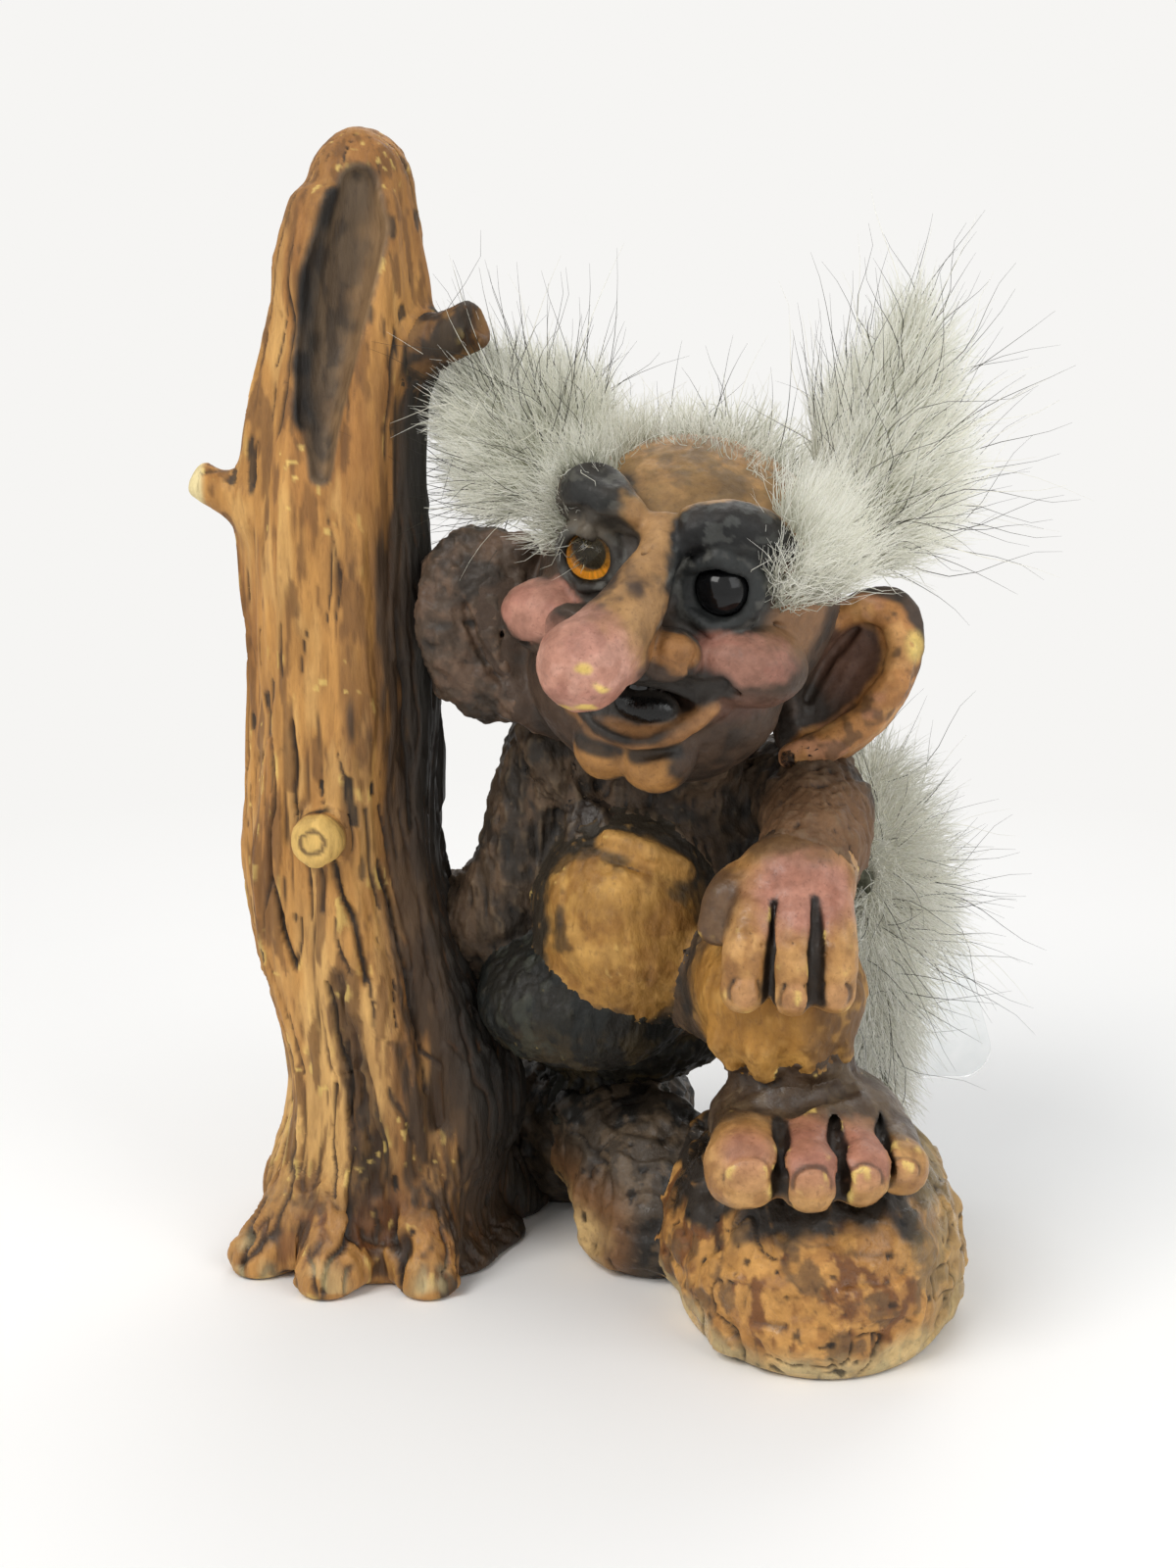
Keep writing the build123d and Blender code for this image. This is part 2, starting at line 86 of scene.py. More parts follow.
# Snag axis: heights, sideways places and radii; the rotted hollow, its left lip, and the scar over the roots
SNAG_Y = 8.0
SNAG_HEIGHTS = np.array([0.0, 26, 62, 100, 150, 175, 202, 214, 223])
SNAG_X = np.array([-39.0, -40.5, -46.0, -50.5, -50.8, -50.2, -46.7, -45.9, -44.3])
SNAG_RADII = np.array([26.0, 24.0, 21.5, 19.0, 18.2, 17.0, 13.8, 11.4, 7.6])
HOLLOW = [
    (-44.2, -0.5, 222.0, 3.4),
    (-44.6, -3.0, 214.0, 5.6),
    (-46.6, -3.4, 205.0, 5.6),
    (-49.4, -4.0, 192.0, 4.8),
    (-51.2, -5.8, 181.0, 3.4),
    (-52.2, -7.8, 167.0, 1.4),
]
HOLLOW_LIP = [
    (-48.4, -2.6, 220.0, 1.4),
    (-51.6, -3.6, 206.0, 2.6),
    (-53.6, -4.4, 192.0, 2.6),
    (-54.2, -6.4, 178.0, 2.0),
]
SCAR = [(-50.5, -12.5, 66, 0.8), (-48.5, -13.5, 46, 2.8), (-46, -16, 30, 4.0), (-44.5, -19, 12, 4.6)]

# The sawn knot's middle across and up, the radius of its growth ring, and the worn tips of the front roots
KNOT_MIDDLE = (-54.3, 95.4)
KNOT_RING = 2.4
ROOT_TIPS = [(-69, -9, 2), (-53.5, -19, 2), (-33, -19, 2)]

# Gaps between the fingers and between the toes
FINGER_GAPS = [
    [(34.9, -46.5, 91.5, 0.5), (34.4, -50.5, 84, 1.1), (33.8, -51.5, 72, 1.5)],
    [(42.4, -47.5, 92.5, 0.6), (42.2, -52.4, 84, 1.4), (42.2, -53.0, 78, 1.5), (42.2, -52.6, 71, 1.5)],
]
TOE_GAPS = [
    [(36.4, -46, 51.5, 0.6), (36.2, -56, 47.6, 1.6), (36.0, -62.5, 43.5, 1.9), (36.0, -62.5, 36, 1.6)],
    [(46.6, -46, 50.8, 0.6), (46.6, -56, 47.0, 1.7), (46.6, -62.5, 43.0, 1.9), (46.6, -62, 36, 1.6)],
    [(55.4, -43, 49.2, 0.6), (55.6, -52, 46.0, 1.6), (55.6, -58.5, 42.0, 1.8), (55.6, -58, 35, 1.5)],
]

# Nails: middle, half width and half height
FINGER_NAILS = [(38.3, -54.3, 75.6, 2.7, 3.0), (46.0, -52.8, 75.6, 2.6, 2.9), (29.2, -51.9, 76.0, 2.7, 2.9)]
TOE_NAILS = [
    (29.5, -63.5, 44.6, 4.2, 3.4),
    (41.3, -65.5, 43.8, 3.5, 2.9),
    (51.3, -62.5, 43.4, 3.1, 2.6),
    (59.3, -56.5, 42.4, 2.8, 2.3),
]

# Head frame
HEAD_AT = np.array([20.0, -10.0, 146.0])
HEAD_TURN = (7.0, 10.0, -21.0)  # pitch, roll and yaw
RIGHT_EYE = ((-12.0, -25.6, 10.0), 4.6)
LEFT_EYE = ((14.0, -24.2, 9.6), 5.2)
SMILE = [
    (-10.0, -34.0, -14.0, 2.4),
    (-3.0, -38.5, -13.8, 4.8),
    (6.0, -39.0, -12.8, 5.8),
    (13.0, -35.5, -9.8, 4.6),
    (18.5, -31.5, -6.6, 1.6),
]
LOWER_LIP = [
    (-10.0, -28.5, -18.0, 2.0),
    (-3.0, -33.5, -19.6, 2.2),
    (5.0, -35.0, -19.6, 2.2),
    (12.0, -32.5, -17.0, 2.0),
    (17.0, -30.0, -12.0, 1.4),
]
RIGHT_BROW = [(-18.2, -22, 19.0, 1.6), (-15.5, -25.6, 23.4, 2.2), (-9.0, -28.8, 22.8, 1.9)]
LEFT_BROW = [
    (5.5, -29.5, 15.5, 1.4),
    (8, -29.0, 20.5, 1.9),
    (13, -27.4, 23.0, 2.2),
    (19.5, -22.6, 21.6, 2.0),
    (23, -19.0, 16.5, 1.4),
]
BRIDGE = [(-0.5, -30, 25, 4.5), (1.5, -32, 16, 3.6), (3.0, -38, 10, 4.4), (1.5, -46, 3, 7.0)]
NOSE_TIP = np.array([-2.0, -51.5, -2.5])
NOSE_CHIPS = [(0.5, -57.0, 0.5), (1.5, -56.0, -7.0), (-1.5, -57.5, -8.0), (3.6, -55.0, -2.5)]


def rotation(pitch, roll, yaw):
    """The head's rotation matrix."""
    a, b, c = (math.radians(v) for v in (pitch, roll, yaw))
    rx = np.array([[1, 0, 0], [0, math.cos(a), -math.sin(a)], [0, math.sin(a), math.cos(a)]])
    ry = np.array([[math.cos(b), 0, math.sin(b)], [0, 1, 0], [-math.sin(b), 0, math.cos(b)]])
    rz = np.array([[math.cos(c), -math.sin(c), 0], [math.sin(c), math.cos(c), 0], [0, 0, 1]])
    return rz @ ry @ rx


HEAD_MATRIX = rotation(*HEAD_TURN)


def on_head(point):
    """A point of the head's own frame, on the bench."""
    return HEAD_AT + HEAD_MATRIX @ np.asarray(point, float)


def in_head(points):
    """Bench points in the head's own frame."""
    return (points - HEAD_AT) @ HEAD_MATRIX


# Small number tools


def smooth(low, high, value):
    """A smooth step from 0 at low to 1 at high."""
    t = np.clip((value - low) / (high - low), 0, 1)
    return t * t * (3 - 2 * t)


def lattice(ix, iy, iz, seed):
    """Repeatable random values from 0 to 1 at whole-number places."""
    h = ix * np.uint32(374761393) + iy * np.uint32(668265263)
    h = h + iz * np.uint32(2246822519) + np.uint32(seed * 97531 + 11)
    h = (h ^ (h >> np.uint32(13))) * np.uint32(1274126177)
    h = (h ^ (h >> np.uint32(16))) * np.uint32(2654435761)
    return ((h ^ (h >> np.uint32(15))) & np.uint32(0xFFFF)).astype(np.float32) / 65535


def noise(points, size, seed=0):
    """Smooth value noise from 0 to 1 with features of about size, one number or three, in millimetres."""
    q = points / np.asarray(size, float)
    cell = np.floor(q)
    t = (q - cell).astype(np.float32)
    t = t * t * t * (t * (t * 6 - 15) + 10)
    i = cell.astype(np.int64).astype(np.uint32)
    one = np.uint32(1)
    out = 0
    for dx in (0, 1):
        for dy in (0, 1):
            for dz in (0, 1):
                w = (t[:, 0] if dx else 1 - t[:, 0]) * (t[:, 1] if dy else 1 - t[:, 1])
                w = w * (t[:, 2] if dz else 1 - t[:, 2])
                out = out + w * lattice(i[:, 0] + dx * one, i[:, 1] + dy * one, i[:, 2] + dz * one, seed)
    return out


def layered(points, size, seed=0, layers=3):
    """Noise with finer layers added, from 0 to 1."""
    size = np.asarray(size, float)
    total, weight, out = 0.0, 1.0, 0
    for k in range(layers):
        out = out + weight * noise(points, size / 2.03**k, seed + 17 * k)
        total += weight
        weight *= 0.55
    return out / total


def cracks(points, size, seed, width):
    """1 along thin wandering lines, 0 between them."""
    return 1 - smooth(0, width, np.abs(noise(points, size, seed) - 0.5))


def patches(points, size, seed, low=0.48, high=0.66, layers=3):
    """Soft-edged patches of 1 in a field of 0."""
    return smooth(low, high, layered(points, size, seed, layers))


def rgb(red, green, blue):
    """A linear colour from the 0 to 255 values that it shows as."""
    c = np.array([red, green, blue], float) / 255
    return np.where(c <= 0.04045, c / 12.92, ((c + 0.055) / 1.055) ** 2.4)


def ball_mask(points, centre, radii, soft=0.35):
    """1 inside an egg, fading to 0 over a share of its size."""
    q = (points - np.asarray(centre)) / np.asarray(radii)
    return 1 - smooth(1 - soft, 1 + soft, np.sqrt((q * q).sum(1)))


def bar_distance(points, stations):
    """Distance to a chain of round bars that taper between stations of x, y, z and radius."""
    best = None
    for a, b in zip(stations, stations[1:]):
        pa, pb = np.array(a[:3], float), np.array(b[:3], float)
        run = pb - pa
        rel = points - pa
        t = np.clip((rel @ run) / (run @ run), 0, 1)
        gap = rel - t[..., None] * run
        d = np.sqrt((gap * gap).sum(-1)) - (a[3] + (b[3] - a[3]) * t)
        best = d if best is None else np.minimum(best, d)
    return best


def unit(vectors):
    """Vectors of length 1."""
    return vectors / (np.linalg.norm(vectors, axis=-1, keepdims=True) + 1e-9)


# Clay: one distance field for a group of solids


def smooth_min(a, b, k):
    """The lower of two distances, rounded where they meet."""
    h = np.clip(0.5 + 0.5 * (b - a) / k, 0, 1)
    return b + (a - b) * h - k * h * (1 - h)


def node_triangles(name):
    """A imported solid's corners on the bench, and its triangles."""
    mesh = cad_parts[name].data
    mesh.calc_loop_triangles()
    points = np.empty(len(mesh.vertices) * 3, np.float32)
    mesh.vertices.foreach_get("co", points)
    tris = np.empty(len(mesh.loop_triangles) * 3, np.int32)
    mesh.loop_triangles.foreach_get("vertices", tris)
    return points.reshape(-1, 3) / MM - BENCH, tris.reshape(-1, 3)


class Clay:
    """A group of solids as one distance field that can be softened, added to and carved."""

    def __init__(self, names, voxel, blends=None, default_blend=2.5):
        self.names = names
        self.voxel = voxel
        meshes = {n: node_triangles(n) for n in names}
        low = np.min([m[0].min(0) for m in meshes.values()], 0) - BAND
        high = np.max([m[0].max(0) for m in meshes.values()], 0) + BAND
        self.origin = np.floor(low / voxel) * voxel
        self.shape = tuple(np.ceil((high - self.origin) / voxel).astype(int) + 1)
        self.total = np.full(self.shape, BAND, np.float32)
        self.first = np.full(self.shape, BAND, np.float32)
        self.second = np.full(self.shape, BAND, np.float32)
        self.owner = np.full(self.shape, 255, np.uint8)
        self.fields = {}
        for k, name in enumerate(names):
            self.join(k, name, *meshes[name], (blends or {}).get(name, default_blend))

    def join(self, k, name, points, tris, blend):
        """Adds one solid to the field, rounded into what is already there."""
        low = np.maximum(np.floor((points.min(0) - BAND - self.origin) / self.voxel).astype(int), 0)
        high = np.ceil((points.max(0) + BAND - self.origin) / self.voxel).astype(int) + 1
        high = np.minimum(high, self.shape)
        local = (points - self.origin) / self.voxel - low
        level = vdb.FloatGrid.createLevelSetFromPolygons(
            local.astype(np.float32), triangles=tris.astype(np.uint32), halfWidth=BAND / self.voxel
        )
        d = np.empty(tuple(high - low), np.float32)
        level.copyToArray(d)
        d *= self.voxel
        window = tuple(slice(a, b) for a, b in zip(low, high))
        self.fields[name] = (window, d)
        first, second, owner = self.first[window], self.second[window], self.owner[window]
        closer = d < first
        second[...] = np.where(closer, first, np.minimum(second, d))
        owner[closer] = k
        first[...] = np.minimum(first, d)
        self.total[window] = smooth_min(self.total[window], d - SINK, blend)

    def soften(self, width):
        """Blurs the field, which rounds every crease by about width."""
        sigma = width / self.voxel
        reach = max(1, int(math.ceil(2.2 * sigma)))
        taps = np.exp(-0.5 * (np.arange(-reach, reach + 1) / sigma) ** 2)
        taps = (taps / taps.sum()).astype(np.float32)
        for axis in range(3):
            head = np.repeat(self.total.take([0], axis), reach, axis)
            foot = np.repeat(self.total.take([-1], axis), reach, axis)
            padded = np.concatenate([head, self.total, foot], axis)
            out = np.zeros_like(self.total)
            length = self.shape[axis]
            for j, tap in enumerate(taps):
                cut = [slice(None)] * 3
                cut[axis] = slice(j, j + length)
                out += tap * padded[tuple(cut)]
            self.total = out

    def window(self, low, high):
        """The slices and the bench places of the voxels between two corners."""
        a = np.clip(np.floor((np.asarray(low) - self.origin) / self.voxel).astype(int), 0, self.shape)
        b = np.clip(np.ceil((np.asarray(high) - self.origin) / self.voxel).astype(int) + 1, 0, self.shape)
        axes = [self.origin[k] + self.voxel * np.arange(a[k], b[k]) for k in range(3)]
        places = np.stack(np.meshgrid(*axes, indexing="ij"), -1)
        return tuple(slice(i, j) for i, j in zip(a, b)), places

    def shape_field(self, spec, pad):
        """The distance of a lump near itself: ("bar", stations) or ("egg", centre, radii, matrix)."""
        if spec[0] == "bar":
            s = np.array(spec[1], float)
            reach = s[:, 3:].max() + pad
            window, places = self.window(s[:, :3].min(0) - reach, s[:, :3].max(0) + reach)
            return window, bar_distance(places, spec[1])
        centre, radii = np.asarray(spec[1], float), np.asarray(spec[2], float)
        matrix = spec[3] if len(spec) > 3 else np.eye(3)
        reach = radii.max() + pad
        window, places = self.window(centre - reach, centre + reach)
        q = ((places - centre) @ matrix) / radii
        norm = np.sqrt((q * q).sum(-1)) + 1e-6
        slope = np.sqrt(((q / radii) ** 2).sum(-1)) + 1e-6
        return window, (norm - 1) * norm / slope

    def add(self, spec, blend=1.0):
        """Adds a lump."""
        window, d = self.shape_field(spec, 3 + 2 * blend)
        self.total[window] = smooth_min(self.total[window], d.astype(np.float32), blend)

    def carve(self, spec, blend=1.0):
        """Takes a lump out."""
        window, d = self.shape_field(spec, 3 + 2 * blend)
        self.total[window] = -smooth_min(-self.total[window], d.astype(np.float32), blend)

    def add_ring(self, centre, radius, thick, facing, blend=1.0):
        """Adds a ring round a facing direction."""
        centre, facing = np.asarray(centre, float), unit(np.asarray(facing, float))
        reach = radius + thick + 3 + blend
        window, places = self.window(centre - reach, centre + reach)
        rel = places - centre
        along = rel @ facing
        across = np.sqrt(np.maximum((rel * rel).sum(-1) - along**2, 0))
        d = np.sqrt((across - radius) ** 2 + along**2) - thick
        self.total[window] = smooth_min(self.total[window], d.astype(np.float32), blend)

    def ground(self):
        """Cuts the field flat at the floor."""
        z = self.origin[2] + self.voxel * np.arange(self.shape[2])
        self.total = np.maximum(self.total, -z[None, None, :].astype(np.float32))

    def piece(self, name, overlap=0.7):
        """The points and quads of one solid's share of the field."""
        window, d = self.fields[name]
        k = self.names.index(name)
        others = np.where(self.owner[window] == k, self.second[window], self.first[window])
        share = np.maximum(self.total[window], (d - others) / 2 - overlap)
        grid = vdb.FloatGrid(BAND)
        grid.copyFromArray(np.ascontiguousarray(share, np.float32))
        points, quads = grid.convertToQuads(0.0)
        start = np.array([s.start for s in window])
        return (points + start) * self.voxel + self.origin, quads.astype(np.int32)


# Mesh tools


def outward(points, quads):
    """Quads wound so that they face out."""
    a, b, c, d = (points[quads[:, k]] for k in range(4))
    volume = (np.einsum("ij,ij->i", a, np.cross(b, c)) + np.einsum("ij,ij->i", a, np.cross(c, d))).sum()
    return quads[:, ::-1] if volume < 0 else quads


def normals_of(points, quads):
    """Unit vertex normals."""
    face = np.cross(points[quads[:, 2]] - points[quads[:, 0]], points[quads[:, 3]] - points[quads[:, 1]])
    total = np.zeros_like(points)
    for k in range(4):
        for axis in range(3):
            total[:, axis] += np.bincount(quads[:, k], face[:, axis], len(points))
    return unit(total)


class Net:
    """The edges of a mesh, for averaging over neighbours."""

    def __init__(self, count, quads):
        edges = np.concatenate([quads[:, [k, (k + 1) % 4]] for k in range(4)])
        edges.sort(axis=1)
        edges = np.unique(edges, axis=0)
        self.count = count
        self.a = np.concatenate([edges[:, 0], edges[:, 1]])
        self.b = np.concatenate([edges[:, 1], edges[:, 0]])
        self.degree = np.maximum(np.bincount(self.a, minlength=count), 1)

    def average(self, values, rounds=1):
        """Each vertex's value replaced by the mean of its neighbours', over and over."""
        flat = values.reshape(self.count, -1)
        for _ in range(rounds):
            sums = [np.bincount(self.a, column[self.b], self.count) for column in flat.T]
            flat = np.stack(sums, 1) / self.degree[:, None]
        return flat.reshape(values.shape)


def make_object(name, points, faces, body, material, attributes):
    """A mesh object on a CAD body, from bench points, with per-vertex attributes."""
    mesh = bpy.data.meshes.new(name)
    size = faces.shape[1]
    mesh.vertices.add(len(points))
    mesh.vertices.foreach_set("co", ((points + BENCH) * MM).astype(np.float32).ravel())
    mesh.loops.add(faces.size)
    mesh.loops.foreach_set("vertex_index", faces.astype(np.int32).ravel())
    mesh.polygons.add(len(faces))
    mesh.polygons.foreach_set("loop_start", np.arange(0, faces.size, size, dtype=np.int32))
    mesh.polygons.foreach_set("use_smooth", np.ones(len(faces), bool))
    for key, values in attributes.items():
        if values.ndim == 2:
            layer = mesh.attributes.new(key, "FLOAT_COLOR", "POINT")
            rgba = np.concatenate([values, np.ones((len(values), 1))], 1)
            layer.data.foreach_set("color", rgba.astype(np.float32).ravel())
        else:
            layer = mesh.attributes.new(key, "FLOAT", "POINT")
            layer.data.foreach_set("value", values.astype(np.float32))
    mesh.update()
    mesh.validate()
    mesh.materials.append(material)
    obj = bpy.data.objects.new(name, mesh)
    bpy.context.scene.collection.objects.link(obj)
    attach(obj, body)
    return obj


# Materials


class Nodes:
    """A short way to build a material's nodes."""

    def __init__(self, name):
        self.material = bpy.data.materials.new(name)
        self.material.use_nodes = True
        self.tree = self.material.node_tree
        self.shader = self.tree.nodes["Principled BSDF"]

    def new(self, kind, inputs=None, **settings):
        node = self.tree.nodes.new(kind)
        for key, value in settings.items():
            setattr(node, key, value)
        for key, value in (inputs or {}).items():
            self.feed(node.inputs[key], value)
        return node

    def feed(self, socket, value):
        if isinstance(value, bpy.types.NodeSocket):
            self.tree.links.new(value, socket)
        else:
            socket.default_value = value

    def set(self, **inputs):
        for key, value in inputs.items():
            self.feed(self.shader.inputs[key.replace("_", " ")], value)

    def attribute(self, name, channel):
        return self.new("ShaderNodeAttribute", attribute_name=name).outputs[channel]

    def place(self, stretch=(1, 1, 1)):
        coords = self.new("ShaderNodeTexCoord").outputs["Object"]
        return self.new("ShaderNodeMapping", {"Vector": coords, "Scale": stretch}).outputs["Vector"]

    def noise(self, vector, scale, detail=4.0, rough=0.6):
        inputs = {"Vector": vector, "Scale": scale, "Detail": detail, "Roughness": rough}
        return self.new("ShaderNodeTexNoise", inputs).outputs["Fac"]

    def spread(self, value, low, high, to_low=0.0, to_high=1.0):
        inputs = {"Value": value, "From Min": low, "From Max": high, "To Min": to_low, "To Max": to_high}
        return self.new("ShaderNodeMapRange", inputs).outputs["Result"]

    def mix(self, factor, a, b, mode="MIX"):
        node = self.new("ShaderNodeMix", data_type="RGBA", blend_type=mode)
        self.feed(node.inputs["Factor"], factor)
        self.feed(node.inputs[6], a)
        self.feed(node.inputs[7], b)
        return node.outputs[2]

    def math(self, operation, a, b):
        node = self.new("ShaderNodeMath", operation=operation)
        self.feed(node.inputs[0], a)
        self.feed(node.inputs[1], b)
        return node.outputs[0]

    def bump(self, height, distance, strength=1.0):
        inputs = {"Height": height, "Distance": distance, "Strength": strength}
        return self.new("ShaderNodeBump", inputs).outputs["Normal"]


def latex_material(name, stretch, grain, streak, bump_mm, gloss_low, gloss_high):
    """Brushed paint on latex: the painted colour, broken by streaks and specks, with a fine rough skin."""
    n = Nodes(name)
    paint = n.attribute("paint", "Color")
    shine = n.attribute("shine", "Fac")
    where = n.place(stretch)
    coarse = n.noise(where, streak, 5.0, 0.65)
    fine = n.noise(where, grain, 3.0, 0.6)
    dark = n.mix(1.0, paint, (0.74, 0.70, 0.66, 1), "MULTIPLY")
    pale = n.mix(1.0, paint, (1.18, 1.17, 1.14, 1), "MULTIPLY")
    speck = n.mix(1.0, paint, (0.45, 0.40, 0.36, 1), "MULTIPLY")
    colour = n.mix(n.spread(coarse, 0.36, 0.66), dark, pale)
    colour = n.mix(n.spread(fine, 0.30, 0.44, 0.45, 0.0), colour, speck)
    rough = n.spread(fine, 0.3, 0.7, gloss_low, gloss_high)
    rough = n.math("SUBTRACT", rough, n.math("MULTIPLY", shine, 0.34))
    height = n.math("ADD", n.math("MULTIPLY", coarse, 0.7), n.math("MULTIPLY", fine, 0.3))
    n.set(Base_Color=colour, Roughness=rough, Normal=n.bump(height, bump_mm * MM))
    n.set(Specular_IOR_Level=0.35)
    return n.material


BARK = latex_material("bark_paint", (1, 1, 0.2), 900, 260, 0.7, 0.55, 0.78)
ROCK = latex_material("rock_paint", (1, 1, 1), 700, 170, 0.7, 0.42, 0.70)
SKIN = latex_material("skin_paint", (1, 1, 1), 1100, 240, 0.35, 0.46, 0.66)
CLOTH = latex_material("cloth_paint", (1, 1, 0.6), 800, 210, 0.8, 0.50, 0.74)

# Colours of the paint, as they show
OCHRE = rgb(182, 134, 74)
GOLD = rgb(162, 116, 50)
UMBER = rgb(58, 46, 36)
BROWN = rgb(86, 64, 44)
SOOT = rgb(36, 33, 29)
INK = rgb(22, 21, 20)
SLATE = rgb(44, 48, 49)
PINK = rgb(182, 132, 114)
ROSE = rgb(160, 108, 94)
RUST = rgb(104, 62, 34)
CREAM = rgb(214, 198, 150)
CHIP = rgb(222, 192, 112)


class Coat:
    """Paint laid on a piece's vertices in washes."""

    def __init__(self, base, count):
        self.colour = np.tile(base, (count, 1))
        self.shine = np.zeros(count)

    def wash(self, colour, mask):
        m = np.clip(mask * np.ones(len(self.shine)), 0, 1)[:, None]
        self.colour = self.colour * (1 - m) + np.asarray(colour) * m

    def gloss(self, mask):
        self.shine = np.maximum(self.shine, np.clip(mask, 0, 1))

    def darken(self, share, mask):
        m = np.clip(mask * np.ones(len(self.shine)), 0, 1)[:, None]
        self.colour = self.colour * (1 - m * (1 - share))


class Surface:
    """A piece's mesh with what the paint needs to know: normals, hollows and ridges."""

    def __init__(self, points, quads):
        self.quads = outward(points, quads)
        self.net = Net(len(points), self.quads)
        self.points = points
        self.normals = normals_of(points, self.quads)

    def push(self, amount):
        """Moves the vertices along their normals."""
        self.points = self.points + self.normals * np.asarray(amount)[:, None]

    def measure(self, rounds=(6, 30)):
        """Finds normals again, and how hollow each place is at a small and a large scale, in millimetres."""
        self.normals = normals_of(self.points, self.quads)
        self.hollow = []
        values, done = self.points, 0
        for r in rounds:
            values = self.net.average(values, r - done)
            done = r
            self.hollow.append(((values - self.points) * self.normals).sum(1))


# Bark


def grooves(p, angle, spacing, width, length, seed, start):
    """1 along upright wandering grooves of the bark that come and go, 0 between them."""
    u = angle * 18 / spacing + (layered(p, (12, 12, 30), seed, 3) - 0.5) * 9 / spacing
    line = np.round(u)
    key = np.stack([line * 37, line * 11, p[:, 2]], 1)
    run = smooth(start, start + 0.12, noise(key, (1, 1, length), seed + 1))
    return run * (1 - smooth(0, width * (0.3 + 0.7 * run), np.abs(u - line) * spacing))


def dress_snag(name, surface):
    """Bark: long ridges, gouges and a right side painted dark, partly the bark's own paint and partly painted
    shade, with worn yellow edges.
    """
    p = surface.points
    floor = smooth(0.4, 2.5, p[:, 2])
    size = 1.0 if name == "trunk" else 0.45
    wander = p + (layered(p, (20, 20, 34), 2, 2)[:, None] - 0.5) * np.array([9.0, 9.0, 0.0])
    flute = layered(wander, (8, 8, 90), 3, 2)
    plate = smooth(0.47, 0.53, noise(wander, (7, 7, 36), 15))
    lower = smooth(120, 70, p[:, 2])
    axis = np.interp(p[:, 2], SNAG_HEIGHTS, SNAG_X)
    angle = np.arctan2(p[:, 0] - axis, SNAG_Y - p[:, 1])
    upper = smooth(130, 175, p[:, 2])
    split = grooves(p, angle, 6.5, 0.9, 26, 5, 0.58 - 0.12 * lower + 0.14 * upper)
    slit = grooves(p, angle, 2.6, 0.5, 12, 7, 0.64 - 0.12 * lower + 0.08 * upper)
    comb = layered(wander, (1.5, 1.5, 22), 17, 2)
    nick = smooth(0.76, 0.85, noise(p, (1.9, 1.9, 5.5), 9)) * smooth(0.46, 0.62, noise(p, 17, 12))
    inside = 1 - smooth(0.2, 1.5, np.minimum(bar_distance(p, HOLLOW), bar_distance(p, HOLLOW_LIP)))
    calm = np.interp(p[:, 2], [0, 90, 150, 225], [1.0, 1.0, 0.6, 0.35]) * size
    rough = (flute - 0.5) * 2.4 + plate * 0.8 - split * 1.7 - slit * 0.8 - nick * 0.6 + (comb - 0.5) * 1.4
    scar = 1 - smooth(-0.5, 2.0, bar_distance(p, SCAR))
    rough = rough - scar * (layered(p, (2.2, 2.2, 5), 10, 2) - 0.3) * 2.6
    surface.push(rough * calm * (1 - 0.75 * inside) * floor)
    surface.measure()
    p = surface.points
    fine, broad = surface.hollow
    coat = Coat(OCHRE, len(p))
    coat.wash(rgb(156, 108, 58), 0.75 * patches(p, (7, 7, 34), 31, 0.46, 0.66))
    coat.wash(rgb(204, 162, 100), 0.6 * patches(p, (5, 5, 26), 33, 0.52, 0.68))
    coat.wash(rgb(208, 168, 106), 0.7 * smooth(90, 55, p[:, 2]) * patches(p, (9, 9, 30), 35, 0.4, 0.6))
    coat.wash(rgb(140, 96, 52), 0.55 * smooth(196, 214, p[:, 2]))
    coat.wash(rgb(112, 78, 44), 0.75 * patches(p, (3, 3, 16), 37, 0.54, 0.62))
    # The right side painted dark, with a ragged edge: partly the bark's own dark paint, partly painted shade
    # on the side away from the light; the mid-brown band along its edge and the darkest paint at the far
    # right are painted shade too
    axis = np.interp(p[:, 2], SNAG_HEIGHTS, SNAG_X)
    radius = np.interp(p[:, 2], SNAG_HEIGHTS, SNAG_RADII)
    side = (p[:, 0] - axis) / radius
    edge = np.interp(p[:, 2], [0, 40, 90, 150, 185, 205], [0.36, 0.28, 0.46, 0.56, 0.76, 1.3])
    ragged = layered(p, (4, 4, 24), 41) - 0.5 + (comb - 0.5) * 0.35
    dark = smooth(-0.08, 0.14, side - edge + ragged)
    if name == "trunk_twig":
        dark = 0.15 * dark
    if name == "trunk_branch":
        dark = 0.35 + 0.45 * patches(p, 4, 43)
    if name == "trunk_knot":
        dark = 0 * dark
    coat.wash(rgb(120, 84, 48), 0.7 * smooth(-0.5, 0.0, side - edge + ragged) * smooth(205, 180, p[:, 2]))
    coat.wash(rgb(62, 47, 33), dark * 0.97)
    coat.wash(rgb(92, 70, 48), dark * 0.6 * patches(p, (3, 3, 16), 47, 0.54, 0.70))
    coat.wash(SOOT, dark * smooth(0.55, 0.95, side))
    # Scar, roots and creases
    coat.wash(BROWN * 0.7, 0.85 * scar)
    coat.wash(SOOT, 0.8 * scar * patches(p, (2, 2, 6), 51))
    low = 1 - smooth(8, 24, p[:, 2] + (noise(p, 8, 53) - 0.5) * 14)
    coat.wash(RUST, 0.8 * low * (1 - dark))
    coat.wash(UMBER, 0.75 * low * patches(p, 6, 55, 0.46, 0.62))
    # Raised roots paled and creases, slits, splits and nicks darkened: partly the casting's own drybrushing
    # and wash, partly painted highlight and painted shade
    coat.wash(OCHRE, 0.85 * low * smooth(0.1, 0.5, -broad) * (1 - dark))
    coat.wash(rgb(78, 54, 32), 0.9 * smooth(0.08, 0.30, fine))
    coat.wash(UMBER, 0.7 * smooth(0.3, 0.9, broad) * (1 - inside))
    coat.wash(UMBER, 0.8 * slit)
    coat.wash(SOOT, 0.85 * np.maximum(nick, split))
